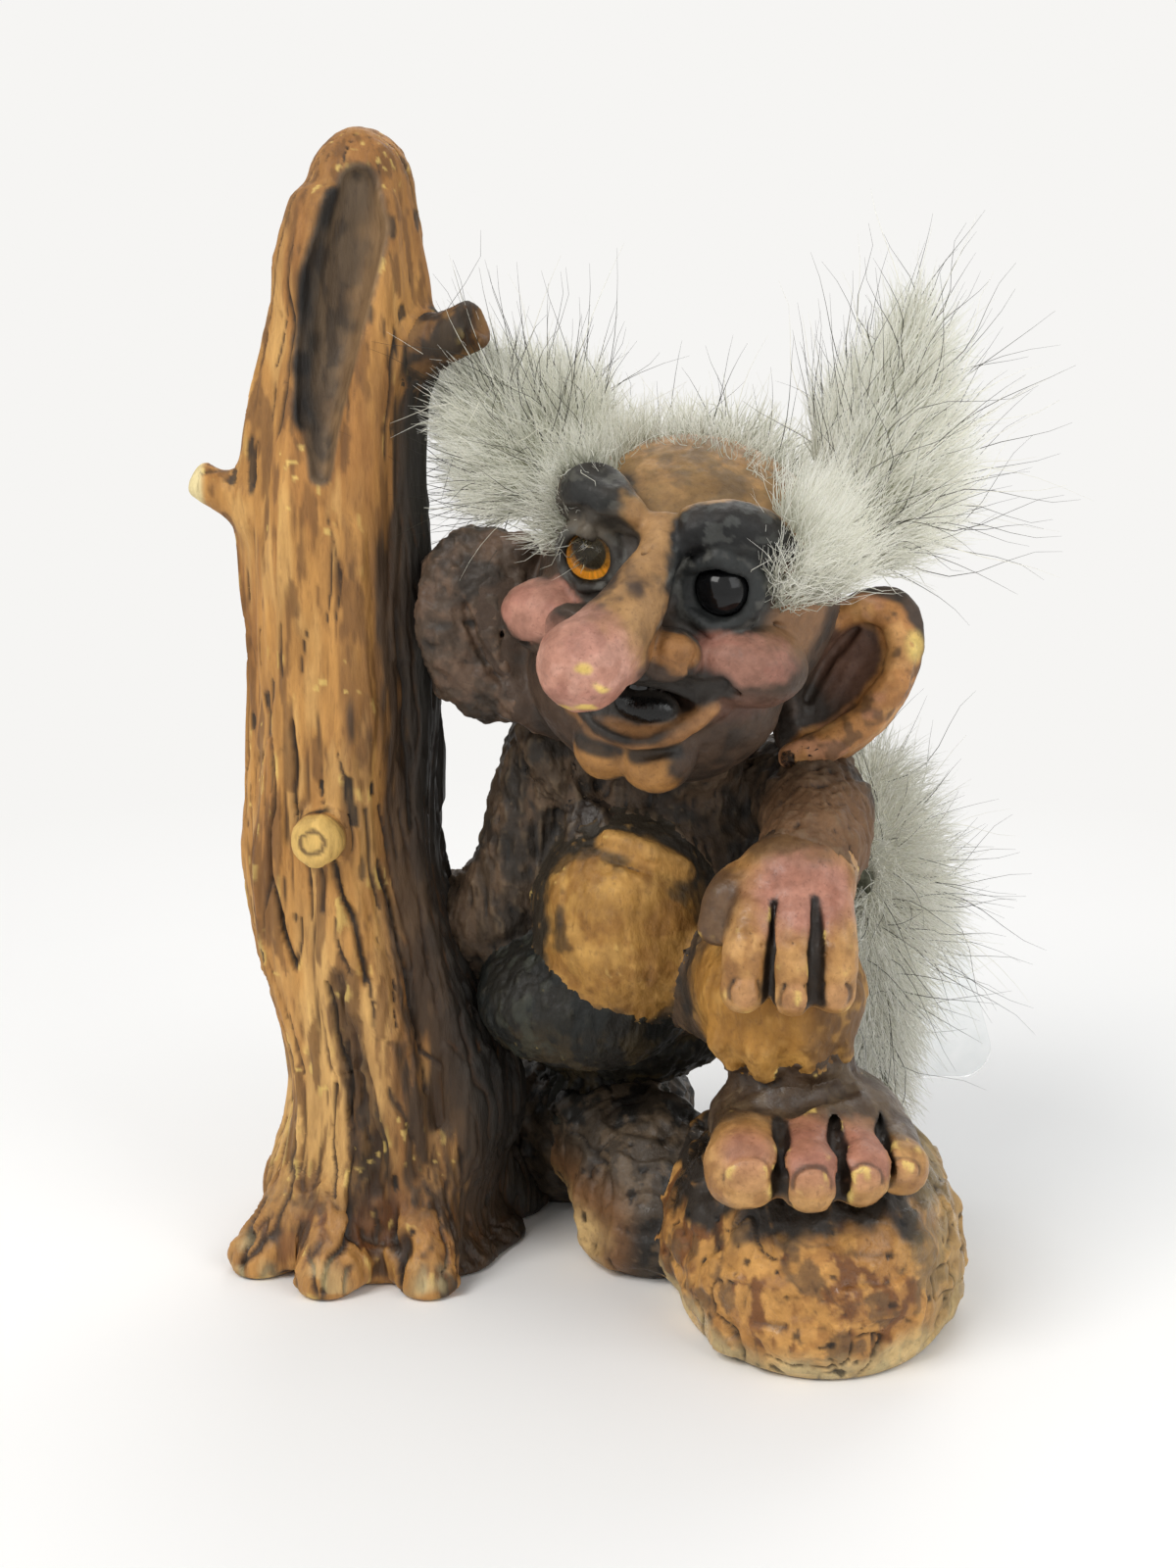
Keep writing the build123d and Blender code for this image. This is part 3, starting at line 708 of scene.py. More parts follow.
    # The rotted hollow, dark brown inside: black under its left lip as painted shadow, and paler on its right
    # wall as painted light
    coat.wash(rgb(96, 80, 62), inside)
    coat.wash(rgb(62, 52, 42), 0.8 * inside * patches(p, (2.5, 2.5, 8), 57, 0.46, 0.6))
    middle = np.interp(p[:, 2], [s[2] for s in HOLLOW[::-1]], [s[0] for s in HOLLOW[::-1]])
    past_middle = p[:, 0] - middle + (noise(p, 3, 59) - 0.5) * 4
    coat.wash(rgb(134, 106, 74), 0.8 * inside * smooth(0.0, 4.0, past_middle))
    to_lip = bar_distance(p, HOLLOW_LIP) + (noise(p, 4, 58) - 0.5) * 2
    coat.wash(INK, 0.95 * (1 - smooth(-0.6, 2.2, to_lip)))
    worn = smooth(0.14, 0.3, -fine) * smooth(0.70, 0.78, noise(p, 4.5, 61)) * (1 - dark) * (1 - inside)
    coat.wash(CHIP, 0.6 * worn)
    specks = smooth(0.84, 0.88, noise(p, 1.5, 62)) * smooth(0.64, 0.70, noise(p, 14, 64)) * (1 - dark)
    coat.wash(CHIP, 0.7 * specks * (1 - inside))
    if name == "trunk_knot":
        face = smooth(-13.5, -15.5, p[:, 1])
        coat.wash(rgb(214, 178, 104), 0.9 * face)
        out = np.hypot(p[:, 0] - KNOT_MIDDLE[0], p[:, 2] - KNOT_MIDDLE[1])
        ring = np.abs(out - KNOT_RING - (noise(p, 2, 65) - 0.5))
        coat.wash(BROWN, 0.85 * face * (1 - smooth(0.25, 0.7, ring)))
    if name == "trunk_twig":
        coat.wash(CREAM, smooth(-76.0, -77.4, p[:, 0]))
    for tip in ROOT_TIPS:
        coat.wash(CREAM, 0.85 * ball_mask(p, tip, (5, 6, 6), 0.4) * smooth(0.35, 0.6, noise(p, 3.5, 63)))
    coat.gloss(low * 0.5)
    return coat


def sculpt_snag():
    """The snag: the solids joined, with a sharper hollow, a scar above the roots and split branch ends."""
    clay = Clay(SNAG_NODES, 0.6, {"trunk_twig": 5.0, "trunk_branch": 5.0, "trunk_knot": 1.4})
    clay.soften(1.2)
    clay.add(("bar", [(-48.0, 7.5, 205, 12.5), (-46.4, 8.8, 214, 11.4), (-44.9, 9.8, 221, 9.6)]), 4.0)
    clay.carve(("bar", HOLLOW), 1.0)
    clay.carve(("bar", HOLLOW_LIP), 0.5)
    clay.carve(("bar", SCAR), 1.6)
    clay.carve(("bar", [(-38, -9, 90, 0.6), (-35, -10.5, 62, 1.6), (-30, -12, 34, 2.4)]), 2.5)
    clay.carve(("bar", [(-60, -9, 122, 0.5), (-61, -8.5, 98, 1.2), (-60, -9.5, 72, 0.8)]), 1.2)
    clay.carve(("bar", [(-43, -9, 154, 0.5), (-41, -9.5, 128, 1.3), (-43, -9.5, 104, 0.6)]), 1.2)
    clay.carve(("bar", [(-52, -10.4, 150, 0.4), (-53, -10.6, 140, 0.9), (-51.5, -10.6, 126, 0.4)]), 0.8)
    clay.carve(("egg", (-20.5, -5.5, 196.5), (4.4, 3.4, 3.6)), 0.6)
    clay.carve(("egg", (-23.0, -3.5, 192.0), (1.6, 2.0, 3.4)), 0.8)
    clay.ground()
    return clay


# Rocks, clothes and limbs


def dress_rock(name, surface):
    """Boulders: lumps and pits, dark tops, ochre faces and a pale worn foot."""
    p = surface.points
    floor = smooth(0.4, 3.0, p[:, 2])
    lump = layered(p, 15, 5, 3)
    dent = layered(p, (6, 6, 5), 8, 2)
    pit = smooth(0.86, 0.92, noise(p, 2.2, 13))
    seam = cracks(p, (9, 9, 7), 14, 0.04) * smooth(0.5, 0.62, noise(p, 12, 16))
    facet = smooth(0.46, 0.54, noise(p, (10, 10, 8), 18)) + 0.5 * smooth(0.46, 0.54, noise(p, (5, 5, 4), 19))
    rough = (lump - 0.5) * 4.0 + (dent - 0.5) * 1.6 + facet - pit * 0.4 - seam * 0.8 - 0.6
    surface.push(rough * floor)
    surface.measure()
    p = surface.points
    fine = surface.hollow[0]
    z = p[:, 2] + (layered(p, 9, 71) - 0.5) * 12
    if name == "foot_rock":
        coat = Coat(rgb(170, 122, 66), len(p))
        coat.wash(RUST, 0.8 * patches(p, (6, 6, 9), 73, 0.52, 0.58, 4))
        coat.wash(rgb(198, 148, 82), 0.85 * patches(p, (5, 5, 8), 75, 0.52, 0.58, 4))
        coat.wash(rgb(112, 84, 54), 0.8 * patches(p, 8, 77, 0.56, 0.61, 4))
        coat.wash(BROWN, 0.6 * cracks(p, (7, 7, 11), 79, 0.05) * patches(p, 9, 80, 0.44, 0.52))
        coat.wash(BROWN, 0.8 * ball_mask(p, (45, -43, 19), (9, 10, 5), 0.5) * patches(p, 4, 76, 0.4, 0.6))
        coat.wash(rgb(46, 39, 32), smooth(27.5, 31, z + 7 * smooth(33, 25, p[:, 0])))
        coat.wash(SOOT, 0.8 * smooth(8, 22, p[:, 1] + (noise(p, 8, 78) - 0.5) * 10))
        coat.wash(CREAM, 0.6 * (1 - smooth(2, 8, z)))
        coat.wash(rgb(176, 152, 104), 0.6 * smooth(60, 72, p[:, 0] + (noise(p, 6, 79) - 0.5) * 8))
        coat.gloss(patches(p, 8, 81, 0.5, 0.65))
    else:
        coat = Coat(rgb(70, 60, 49), len(p))
        coat.wash(SOOT, patches(p, 9, 73, 0.48, 0.56, 4))
        coat.wash(rgb(106, 90, 72), 0.7 * patches(p, 4, 75, 0.54, 0.62, 4))
        if name == "middle_rock":
            left = smooth(6, -2, p[:, 0] + (noise(p, 5, 85) - 0.5) * 5 + 0.12 * (p[:, 2] - 8))
            coat.wash(rgb(130, 92, 58), 0.8 * smooth(12, 4, p[:, 0]) * (1 - smooth(14, 24, p[:, 2])))
            coat.wash(rgb(204, 172, 118), left * (1 - smooth(8, 16, p[:, 2])))
        else:
            coat.darken(0.6, 1.0)
        coat.gloss(0.4 * patches(p, 8, 81))
    # Creases, pits and seams darkened and the foot rock's ridges paled: partly the casting's own wash and
    # drybrushing, partly painted shade and painted highlight
    coat.wash(UMBER * 0.6, 0.85 * smooth(0.12, 0.42, fine))
    coat.wash(rgb(210, 156, 88), 0.35 * smooth(0.2, 0.5, -fine) * (name == "foot_rock"))
    coat.wash(INK, np.maximum(pit, 0.7 * seam) * 0.8)
    return coat


def dress_cloth(name, surface):
    """The shirt, strap and trousers: rough dark paint, an ochre bib and knee, and a near-black thigh, partly
    dark paint and partly painted shade.
    """
    p = surface.points
    rough = layered(p, (3.4, 3.4, 5.0), 101, 3)
    fold = layered(p, 13, 103, 2)
    stroke = layered(p + (noise(p, 6, 104)[:, None] - 0.5) * 4, (1.4, 1.4, 6.0), 105, 2)
    ridge = cracks(p, (4, 4, 6), 107, 0.10)
    bold = {"trouser_bib": 0.5, "left_trouser_leg": 0.5, "right_trouser_leg": 0.6}.get(name, 1.0)
    surface.push(((rough - 0.5) * 1.6 + (stroke - 0.5) * 1.5 + ridge * 0.25) * bold + (fold - 0.5) * 2.0)
    surface.measure()
    p = surface.points
    fine = surface.hollow[0]
    coat = Coat(rgb(72, 58, 44), len(p))
    coat.wash(rgb(100, 80, 62), 0.7 * patches(p, (3.5, 3.5, 6), 111, 0.48, 0.66))
    coat.wash(SOOT, 0.8 * patches(p, 8, 113, 0.5, 0.66))
    wob = layered(p, 6, 115) - 0.5
    if name == "trouser_bib":
        coat.colour[:] = rgb(164, 122, 60)
        coat.wash(rgb(186, 144, 78), 0.8 * patches(p, 8, 117, 0.46, 0.64))
        coat.wash(rgb(136, 94, 42), 0.7 * patches(p, 5, 119, 0.50, 0.66))
        rim = np.abs((p[:, 0] - 7.0) / 15.5) ** 3 + np.abs((p[:, 2] - 75.5) / 18.0) ** 3 + wob * 1.5
        coat.wash(rgb(92, 70, 40), 0.9 * smooth(0.62, 0.85, rim))
        coat.wash(rgb(44, 39, 31), 0.95 * smooth(0.85, 1.15, rim))
        lip = bar_distance(p, [(3.5, -13, 95, 1), (12, -16.5, 93, 1.6), (19.5, -15.5, 89.5, 1)])
        coat.wash(rgb(182, 136, 72), 0.9 * (1 - smooth(0.6, 2.2, lip)))
    elif name == "left_trouser_leg":
        front = smooth(-24, -34, p[:, 1] + wob * 10)
        coat.wash(GOLD, 0.95 * front * smooth(50, 40, p[:, 0] + wob * 10))
        coat.wash(rgb(116, 84, 48), 0.85 * front * smooth(38, 47, p[:, 0] + wob * 6))
        coat.wash(rgb(186, 142, 74), 0.6 * front * patches(p, 5, 121, 0.5, 0.66))
    elif name in ("right_trouser_leg", "trouser_seat"):
        # The thigh and seat painted near-black: partly the trousers' dark paint, partly painted shade; the
        # paler mottle toward the left end is painted light
        coat.wash(rgb(20, 19, 13), 0.97)
        coat.wash(rgb(66, 55, 33), 0.75 * patches(p, 5, 123, 0.53, 0.60, 4) * smooth(60, 50, p[:, 2]))
        coat.wash(rgb(16, 19, 17), 0.9 * patches(p, 8, 125, 0.5, 0.58) * smooth(46, 56, p[:, 2]))
        coat.wash(rgb(58, 61, 52), 0.5 * patches(p, (3, 3, 6), 126, 0.58, 0.64) * smooth(-2, -10, p[:, 0]))
        coat.gloss(0.25 * patches(p, 9, 127, 0.5, 0.66))
    elif name == "left_arm":
        coat.wash(rgb(120, 88, 60), 0.8 * smooth(-10, -26, p[:, 1] + wob * 12))
    elif name == "strap_button":
        coat.wash(rgb(50, 42, 36), 0.9)
        coat.gloss(0.5)
    # Creases darkened and ridges paled: partly the figure's own wash and drybrushing, partly painted shade
    # and painted highlight
    coat.wash(INK, 0.85 * smooth(0.14, 0.40, fine))
    light = rgb(116, 98, 76)
    if name in ("trouser_bib", "left_trouser_leg"):
        light = rgb(206, 160, 92)
    if name in ("right_trouser_leg", "trouser_seat"):
        light = rgb(62, 60, 46)
    coat.wash(light, 0.4 * smooth(0.12, 0.36, -fine))
    coat.wash(CHIP, 0.8 * smooth(0.2, 0.34, -fine) * smooth(0.72, 0.80, noise(p, 3.5, 129)) * (bold < 1))
    return coat


def dress_skin(name, surface):
    """The hand, shin and foot: tan and pink with dark creases and chipped yellow."""
    p = surface.points
    fine_noise = layered(p, 3.0, 141, 3)
    fold = layered(p, 8, 143, 2)
    surface.push((fine_noise - 0.5) * (1.5 if name == "left_shin" else 0.6) + (fold - 0.5) * 0.8)
    surface.measure()
    p = surface.points
    fine, broad = surface.hollow
    wob = layered(p, 5, 145) - 0.5
    coat = Coat(rgb(174, 130, 78), len(p))
    coat.wash(rgb(196, 152, 98), 0.7 * patches(p, 5, 147, 0.48, 0.66))
    coat.wash(rgb(140, 96, 54), 0.6 * patches(p, 4, 148, 0.54, 0.68))
    if name == "left_hand":
        back = ball_mask(p + wob[:, None] * 3, (40, -45, 93), (10, 11, 8), 0.35)
        coat.wash(ROSE, 0.9 * back)
        coat.wash(PINK, 0.6 * back * patches(p, 4, 150, 0.4, 0.6))
        coat.wash(BROWN, 0.8 * smooth(97, 102, p[:, 2] + wob * 8))
        coat.wash(UMBER, 0.85 * smooth(-39, -32, p[:, 1] + wob * 8))
        thumb = ball_mask(p + wob[:, None] * 3, (24.5, -41, 88), (5.5, 7, 9), 0.25)
        coat.wash(rgb(84, 64, 48), 0.9 * thumb)
    if name == "left_shin":
        coat.wash(UMBER, 0.95)
        coat.wash(rgb(98, 82, 62), 0.6 * patches(p, 5, 149))
    if name == "left_foot":
        toe = smooth(-47, -55, p[:, 1] + wob * 6)
        coat.wash(UMBER, 0.95 * (1 - toe))
        coat.wash(rgb(104, 88, 68), 0.6 * (1 - toe) * patches(p, 4, 149))
        top = smooth(40.5, 45, p[:, 2] + wob * 3)
        coat.wash(ROSE, 0.85 * toe * top * smooth(35, 38, p[:, 0]) * (1 - smooth(55, 58, p[:, 0])))
        coat.wash(ROSE, 0.7 * ball_mask(p, (29.5, -61, 48), (5, 6, 4), 0.5))
        coat.wash(UMBER, 0.9 * smooth(38, 36, p[:, 2] + wob * 2))
    for nail in FINGER_NAILS + TOE_NAILS:
        x, y, z, wide, tall = nail
        coat.wash(rgb(190, 142, 100), 0.5 * ball_mask(p, (x, y - 0.6, z), (wide, 2.2, tall), 0.15))
        coat.wash(UMBER, 0.7 * (1 - smooth(-0.1, 0.5, bar_distance(p, nail_groove(nail)) + wob * 1.2)))
    for gap in FINGER_GAPS + TOE_GAPS:
        coat.wash(INK, 0.95 * (1 - smooth(0.1, 0.9, bar_distance(p, gap) + wob * 0.8)))
    # Creases darkened: partly the figure's own wash, partly painted shade
    coat.wash(INK, 0.95 * smooth(0.12, 0.36, fine))
    coat.wash(UMBER, 0.7 * smooth(0.4, 1.2, broad))
    coat.wash(CHIP, 0.85 * smooth(0.14, 0.28, -fine) * smooth(0.64, 0.72, noise(p, 3.0, 151)))
    coat.gloss(0.6 * patches(p, 6, 153, 0.4, 0.6))
    return coat


def nail_groove(nail):
    """Stations of the groove round a nail, open at its free edge."""
    x, y, z, wide, tall = nail
    turns = np.linspace(-1.9, 1.9, 11)
    return [(x + 1.1 * wide * math.sin(a), y + 0.2, z + 1.08 * tall * math.cos(a), 0.35) for a in turns]


def sculpt_body():
    """Rocks, shirt, trousers, limbs: one casting with hems, folds, nails and creases."""
    blends = {"left_hand": 1.2, "left_foot": 1.4, "left_shin": 2.0, "foot_rock": 2.5, "left_trouser_leg": 2.0}
    blends.update({"shoulder_strap": 1.2, "strap_button": 0.6})
    clay = Clay(BODY_NODES, 0.6, blends, 3.5)
    clay.soften(0.85)
    clay.add(("bar", [(-14, 13, 62, 7), (-24, 14, 62, 7), (-33, 14, 60, 6)]), 3.0)
    # Bib edge and the fold under it
    clay.add(("bar", [(3.5, -12.8, 95.5, 1.3), (12, -16.5, 93.2, 1.9), (19.5, -15.5, 89.8, 1.4)]), 1.0)
    clay.carve(("bar", [(4, -16.5, 91.5, 0.5), (13, -19.5, 89.3, 0.9), (21, -17.5, 85.5, 0.5)]), 1.0)
    # Button rim and dish
    clay.carve(("egg", (0.3, -9.6, 96.6), (2.6, 1.2, 2.6)), 0.5)
    # Torn hem over the shin
    for x, drop in ((27.5, 1.5), (33.5, 2.2), (42.5, 2.2), (48.0, 0.6)):
        y = -43.6 + 0.05 * (x - 37) ** 2
        clay.add(("bar", [(x - 1, y, 62, 4.0), (x + 0.5, y, 59.5 - drop, 2.4)]), 2.0)
    clay.carve(("bar", [(36.4, -47, 62.5, 0.5), (36.8, -48, 59, 1.5), (37.2, -47, 54, 3.0)]), 0.8)
    clay.carve(("bar", [(26, -44, 52.5, 2.2), (38, -48, 52, 2.6), (50, -42, 53.5, 2.2)]), 1.2)
    # Finger gaps and knuckle creases
    for gap in FINGER_GAPS:
        clay.carve(("bar", gap), 0.7)
    for x, y, z in ((30, -51.2, 84.5), (38.5, -53.8, 83.5), (46, -52.8, 83.5)):
        for step in (0.0, 2.4):
            start = (x - 2.6, y + 0.8, z + step, 0.3)
            end = (x + 2.6, y + 0.8, z + step + 0.3, 0.3)
            clay.carve(("bar", [start, end]), 0.5)
    # Nails, each in a groove, and the gaps between the toes
    for nail in FINGER_NAILS + TOE_NAILS:
        x, y, z, wide, tall = nail
        clay.add(("egg", (x, y, z), (wide, 1.5, tall)), 0.3)
        clay.carve(("bar", nail_groove(nail)), 0.4)
    for gap in TOE_GAPS:
        clay.carve(("bar", gap), 0.8)
    # The filled saddle behind the middle rock, and the bay beside the foot rock
    clay.add(("bar", [(-8, 36, 20, 15), (6, 18, 19, 15)]), 4.0)
    clay.carve(("bar", [(23, -30, 6, 1.0), (24, -22, 20, 1.4), (24, -8, 32, 1.2)]), 2.0)
    clay.ground()
    return clay


# Head


def dress_right_ear(surface):
    """The ear in the shade, rough dark brown all over: partly its own dark paint, partly painted shade; its
    ridges are paled and its creases darkened, partly as painted highlight and painted shade.
    """
    p = surface.points
    fine = surface.hollow[0]
    coat = Coat(rgb(76, 62, 50), len(p))
    coat.wash(rgb(104, 82, 66), 0.7 * patches(p, 4, 169, 0.46, 0.66))
    coat.wash(SOOT, 0.7 * patches(p, 7, 170, 0.5, 0.66))
    coat.wash(rgb(126, 100, 80), 0.4 * smooth(0.1, 0.35, -fine))
    coat.wash(INK, 0.9 * smooth(0.10, 0.36, fine))
    return coat


EAR_MIDDLE = np.array([52.0, -4.0, 126.0])
EAR_ALONG = unit(np.array([0.57, 0.16, 0.80]))
EAR_ACROSS = unit(np.cross(np.array([-0.25, -0.92, 0.30]), EAR_ALONG))
EAR_FACING = np.cross(EAR_ALONG, EAR_ACROSS)
EAR_RIM = [
    (48.0, -2.5, 138.0, 1.6),
    (54.0, -4.0, 140.3, 1.8),
    (60.0, -6.0, 137.8, 2.2),
    (62.4, -8.0, 132.5, 2.6),
    (60.8, -9.5, 126.0, 3.0),
    (55.2, -10.5, 118.6, 3.4),
    (47.0, -11.5, 113.6, 3.6),
    (40.5, -12.0, 111.6, 2.8),
]


def dress_left_ear(surface):
    """The ear in the light: a tan rolled rim round a dark bowl with a pink fold."""
    p, n = surface.points, surface.normals
    fine = surface.hollow[0]
    wob = layered(p, 5, 165) - 0.5
    coat = Coat(rgb(66, 52, 42), len(p))
    coat.wash(SOOT, 0.7 * patches(p, 5, 173))
    fold = ball_mask(p + wob[:, None] * 3, EAR_MIDDLE + EAR_ALONG * 3 + EAR_ACROSS, (6, 7, 9), 0.5)
    coat.wash(rgb(120, 86, 70), 0.6 * fold)
    rim = 1 - smooth(0.6, 2.4, bar_distance(p, EAR_RIM) + wob * 2.4)
    coat.wash(rgb(176, 124, 72), 0.97 * rim)
    coat.wash(rgb(198, 150, 94), 0.7 * rim * patches(p, 5, 174, 0.48, 0.64))
    coat.wash(PINK, 0.4 * rim * patches(p, 7, 171, 0.5, 0.66))
    coat.wash(BROWN, 0.7 * rim * patches(p, 4, 172, 0.54, 0.68))
    back = smooth(0.2, 0.6, n @ -EAR_FACING)
    coat.wash(rgb(96, 72, 52), 0.7 * back)
    # Creases darkened: partly the ear's own wash, partly painted shade
    coat.wash(INK, 0.85 * smooth(0.14, 0.44, fine))
    coat.wash(CHIP, ball_mask(p, (64.5, -8, 133), (2.2, 4, 2.8), 0.5) * smooth(0.3, 0.5, noise(p, 2, 176)))
    return coat


def dress_head(name, surface):
    """The face: tan forehead, dark eye rings, pink nose and cheeks, dark mouth. Ears are dressed apart."""
    p = surface.points
    fine_noise = layered(p, 2.6, 161, 3)
    fold = layered(p, 8, 163, 2)
    rough = 1.8 if name == "right_ear" else 0.5
    surface.push((fine_noise - 0.5) * rough + (fold - 0.5) * 0.5)
    surface.measure((5, 24))
    if name == "right_ear":
        return dress_right_ear(surface)
    if name == "left_ear":
        return dress_left_ear(surface)
    p = surface.points
    q = in_head(p)
    fine, broad = surface.hollow
    wob = layered(p, 5, 165) - 0.5
    drift = np.stack([layered(p, 4, 166) - 0.5, 0 * wob, layered(p, 4, 168) - 0.5], 1)
    q2 = q + drift * 4
    front = smooth(-8, -18, q[:, 1])
    coat = Coat(rgb(72, 56, 44), len(p))
    coat.wash(SOOT, 0.6 * patches(p, 7, 177))
    # Forehead, bridge and temple in tan
    tan = rgb(128, 100, 62)
    coat.wash(tan, smooth(14, 20, q2[:, 2]) * smooth(-24, -16, q2[:, 0]))
    coat.wash(rgb(166, 128, 82), 0.6 * smooth(20, 25, q2[:, 2]) * patches(q, (4, 4, 8), 178, 0.44, 0.62))
    coat.wash(rgb(94, 80, 60), 0.5 * smooth(12, 20, q2[:, 2]) * patches(q, (5, 5, 6), 183, 0.54, 0.64))
    temple = ball_mask(q2, (25, -14, 6), (8, 12, 13), 0.3)
    coat.wash(rgb(140, 104, 72), 0.9 * temple)
    # Grey round the eyes and the cheeks' upper edges
    for centre, radii in (((-12, -26, 11), (11, 12, 12)), ((14, -24, 10), (11.5, 12, 13))):
        coat.wash(rgb(66, 60, 54), 0.95 * ball_mask(q2, centre, radii, 0.25))
    coat.wash(SLATE * 0.8, 0.94 * ball_mask(q2, (14.2, -26, 12.5), (10.4, 14, 12.0), 0.16))
    coat.wash(SOOT, 0.85 * ball_mask(q2, (-12, -28, 10), (7.0, 10, 6.4), 0.25))
    coat.wash(rgb(58, 54, 48), 0.9 * ball_mask(q2, (-13.5, -26, 19.0), (8.6, 13, 6.5), 0.2))
    coat.wash(rgb(104, 96, 84), 0.8 * ball_mask(q2, (-11.5, -30, 16.0), (6.5, 8, 1.6), 0.5))
    brow_right = ball_mask(q2, (-13.8, -26, 24.0), (8.0, 13, 4.4), 0.16)
    coat.wash(rgb(26, 27, 26), 0.97 * brow_right)
    coat.wash(rgb(84, 84, 78), 0.6 * brow_right * patches(q, (3, 3, 2), 184, 0.58, 0.66))
    brow_left = 1 - smooth(1.2, 2.8, bar_distance(q2, LEFT_BROW))
    coat.wash(rgb(13, 14, 15), 0.97 * brow_left)
    coat.wash(rgb(72, 74, 72), 0.6 * brow_left * patches(q, (3, 3, 1.6), 186, 0.56, 0.66))
    # Pale edges of the lids, partly pale paint and partly painted highlight
    for (centre, radius), reach in ((RIGHT_EYE, 1.9), (LEFT_EYE, 2.6)):
        ring = np.hypot(q2[:, 0] - centre[0], q2[:, 2] - centre[2]) - radius - reach
        lid_edge = 1 - smooth(0.3, 0.9, np.abs(ring))
        coat.wash(rgb(92, 92, 88), 0.6 * front * lid_edge * patches(q, 4, 185, 0.4, 0.55))
    # Bridge and nose
    bridge = bar_distance(q2, BRIDGE)
    coat.wash(rgb(152, 116, 74), 0.95 * (1 - smooth(-0.6, 1.2, bridge)))
    coat.wash(rgb(172, 134, 90), 0.5 * (1 - smooth(-1.5, 0.5, bridge)) * patches(q, 5, 180, 0.44, 0.62))
    bulb = 1 - smooth(8.0, 13.0, np.linalg.norm(q - NOSE_TIP, axis=1) + wob * 4)
    coat.wash(PINK, 0.97 * bulb)
    coat.wash(rgb(206, 160, 144), 0.5 * bulb * patches(q, 4, 179, 0.46, 0.62))
    coat.wash(ROSE, 0.5 * bulb * patches(q, 5, 182, 0.52, 0.66))
    # Cheeks and the nostril wing
    for centre, radii in (((-19, -27, -2.5), (9.5, 9, 5.4)), ((20.3, -27, -2.0), (9.6, 9, 4.6))):
        cheek = ball_mask(q2, centre, radii, 0.25)
        # The cheek on the +x side, away from the key lamp, takes a darker copy of the pink: painted shade
        coat.wash(PINK * (0.92 if centre[0] < 0 else 0.68), 0.95 * cheek)
        coat.wash(ROSE, 0.5 * cheek * patches(q, 4, 181, 0.5, 0.64))
    jaw = ball_mask(q2, (22, -22, -11), (11, 12, 5.0), 0.35)
    coat.wash(rgb(104, 76, 64), 0.9 * jaw)
    coat.wash(rgb(150, 106, 62), 0.97 * ball_mask(q2, (10.2, -38, 0.4), (4.6, 6, 3.2), 0.25))
    # Mouth, lip and chin
    mouth = bar_distance(q, SMILE)
    coat.wash(rgb(46, 42, 38), 0.97 * (1 - smooth(0.2, 2.6, mouth + wob * 2)))
    coat.wash(INK * 0.5, 1 - smooth(-1.4, 0.2, mouth))
    coat.gloss(1 - smooth(-1.4, 0.2, mouth))
    lip = bar_distance(q, LOWER_LIP)
    below_mouth = smooth(-14.0, -18.0, q[:, 2] - 0.40 * np.maximum(q[:, 0] - 4, 0))
    on_lip = (1 - smooth(-0.2, 1.2, lip + wob)) * below_mouth
    coat.wash(rgb(158, 114, 72), 0.95 * on_lip)
    for centre in ((-2.8, -33, -26.5), (7.2, -33, -26)):
        coat.wash(rgb(164, 118, 64), 0.95 * ball_mask(q2, centre, (5.4, 7, 4.8), 0.25))
    under_lip = bar_distance(q, [(-8, -35, -23.0, 0.8), (3, -37, -23.4, 0.8), (13, -33, -20.5, 0.6)])
    coat.wash(SOOT, 0.92 * (1 - smooth(0.2, 1.6, under_lip)))
    # Creases and worn chips
    # Creases darkened: partly the figure's own wash, partly painted shade
    coat.wash(INK, 0.85 * smooth(0.12, 0.36, fine))
    coat.wash(UMBER, 0.5 * smooth(0.5, 1.4, broad))
    for chip in NOSE_CHIPS:
        coat.wash(CHIP, ball_mask(q + drift * 2, chip, (1.6, 2.5, 0.9), 0.4))
    return coat


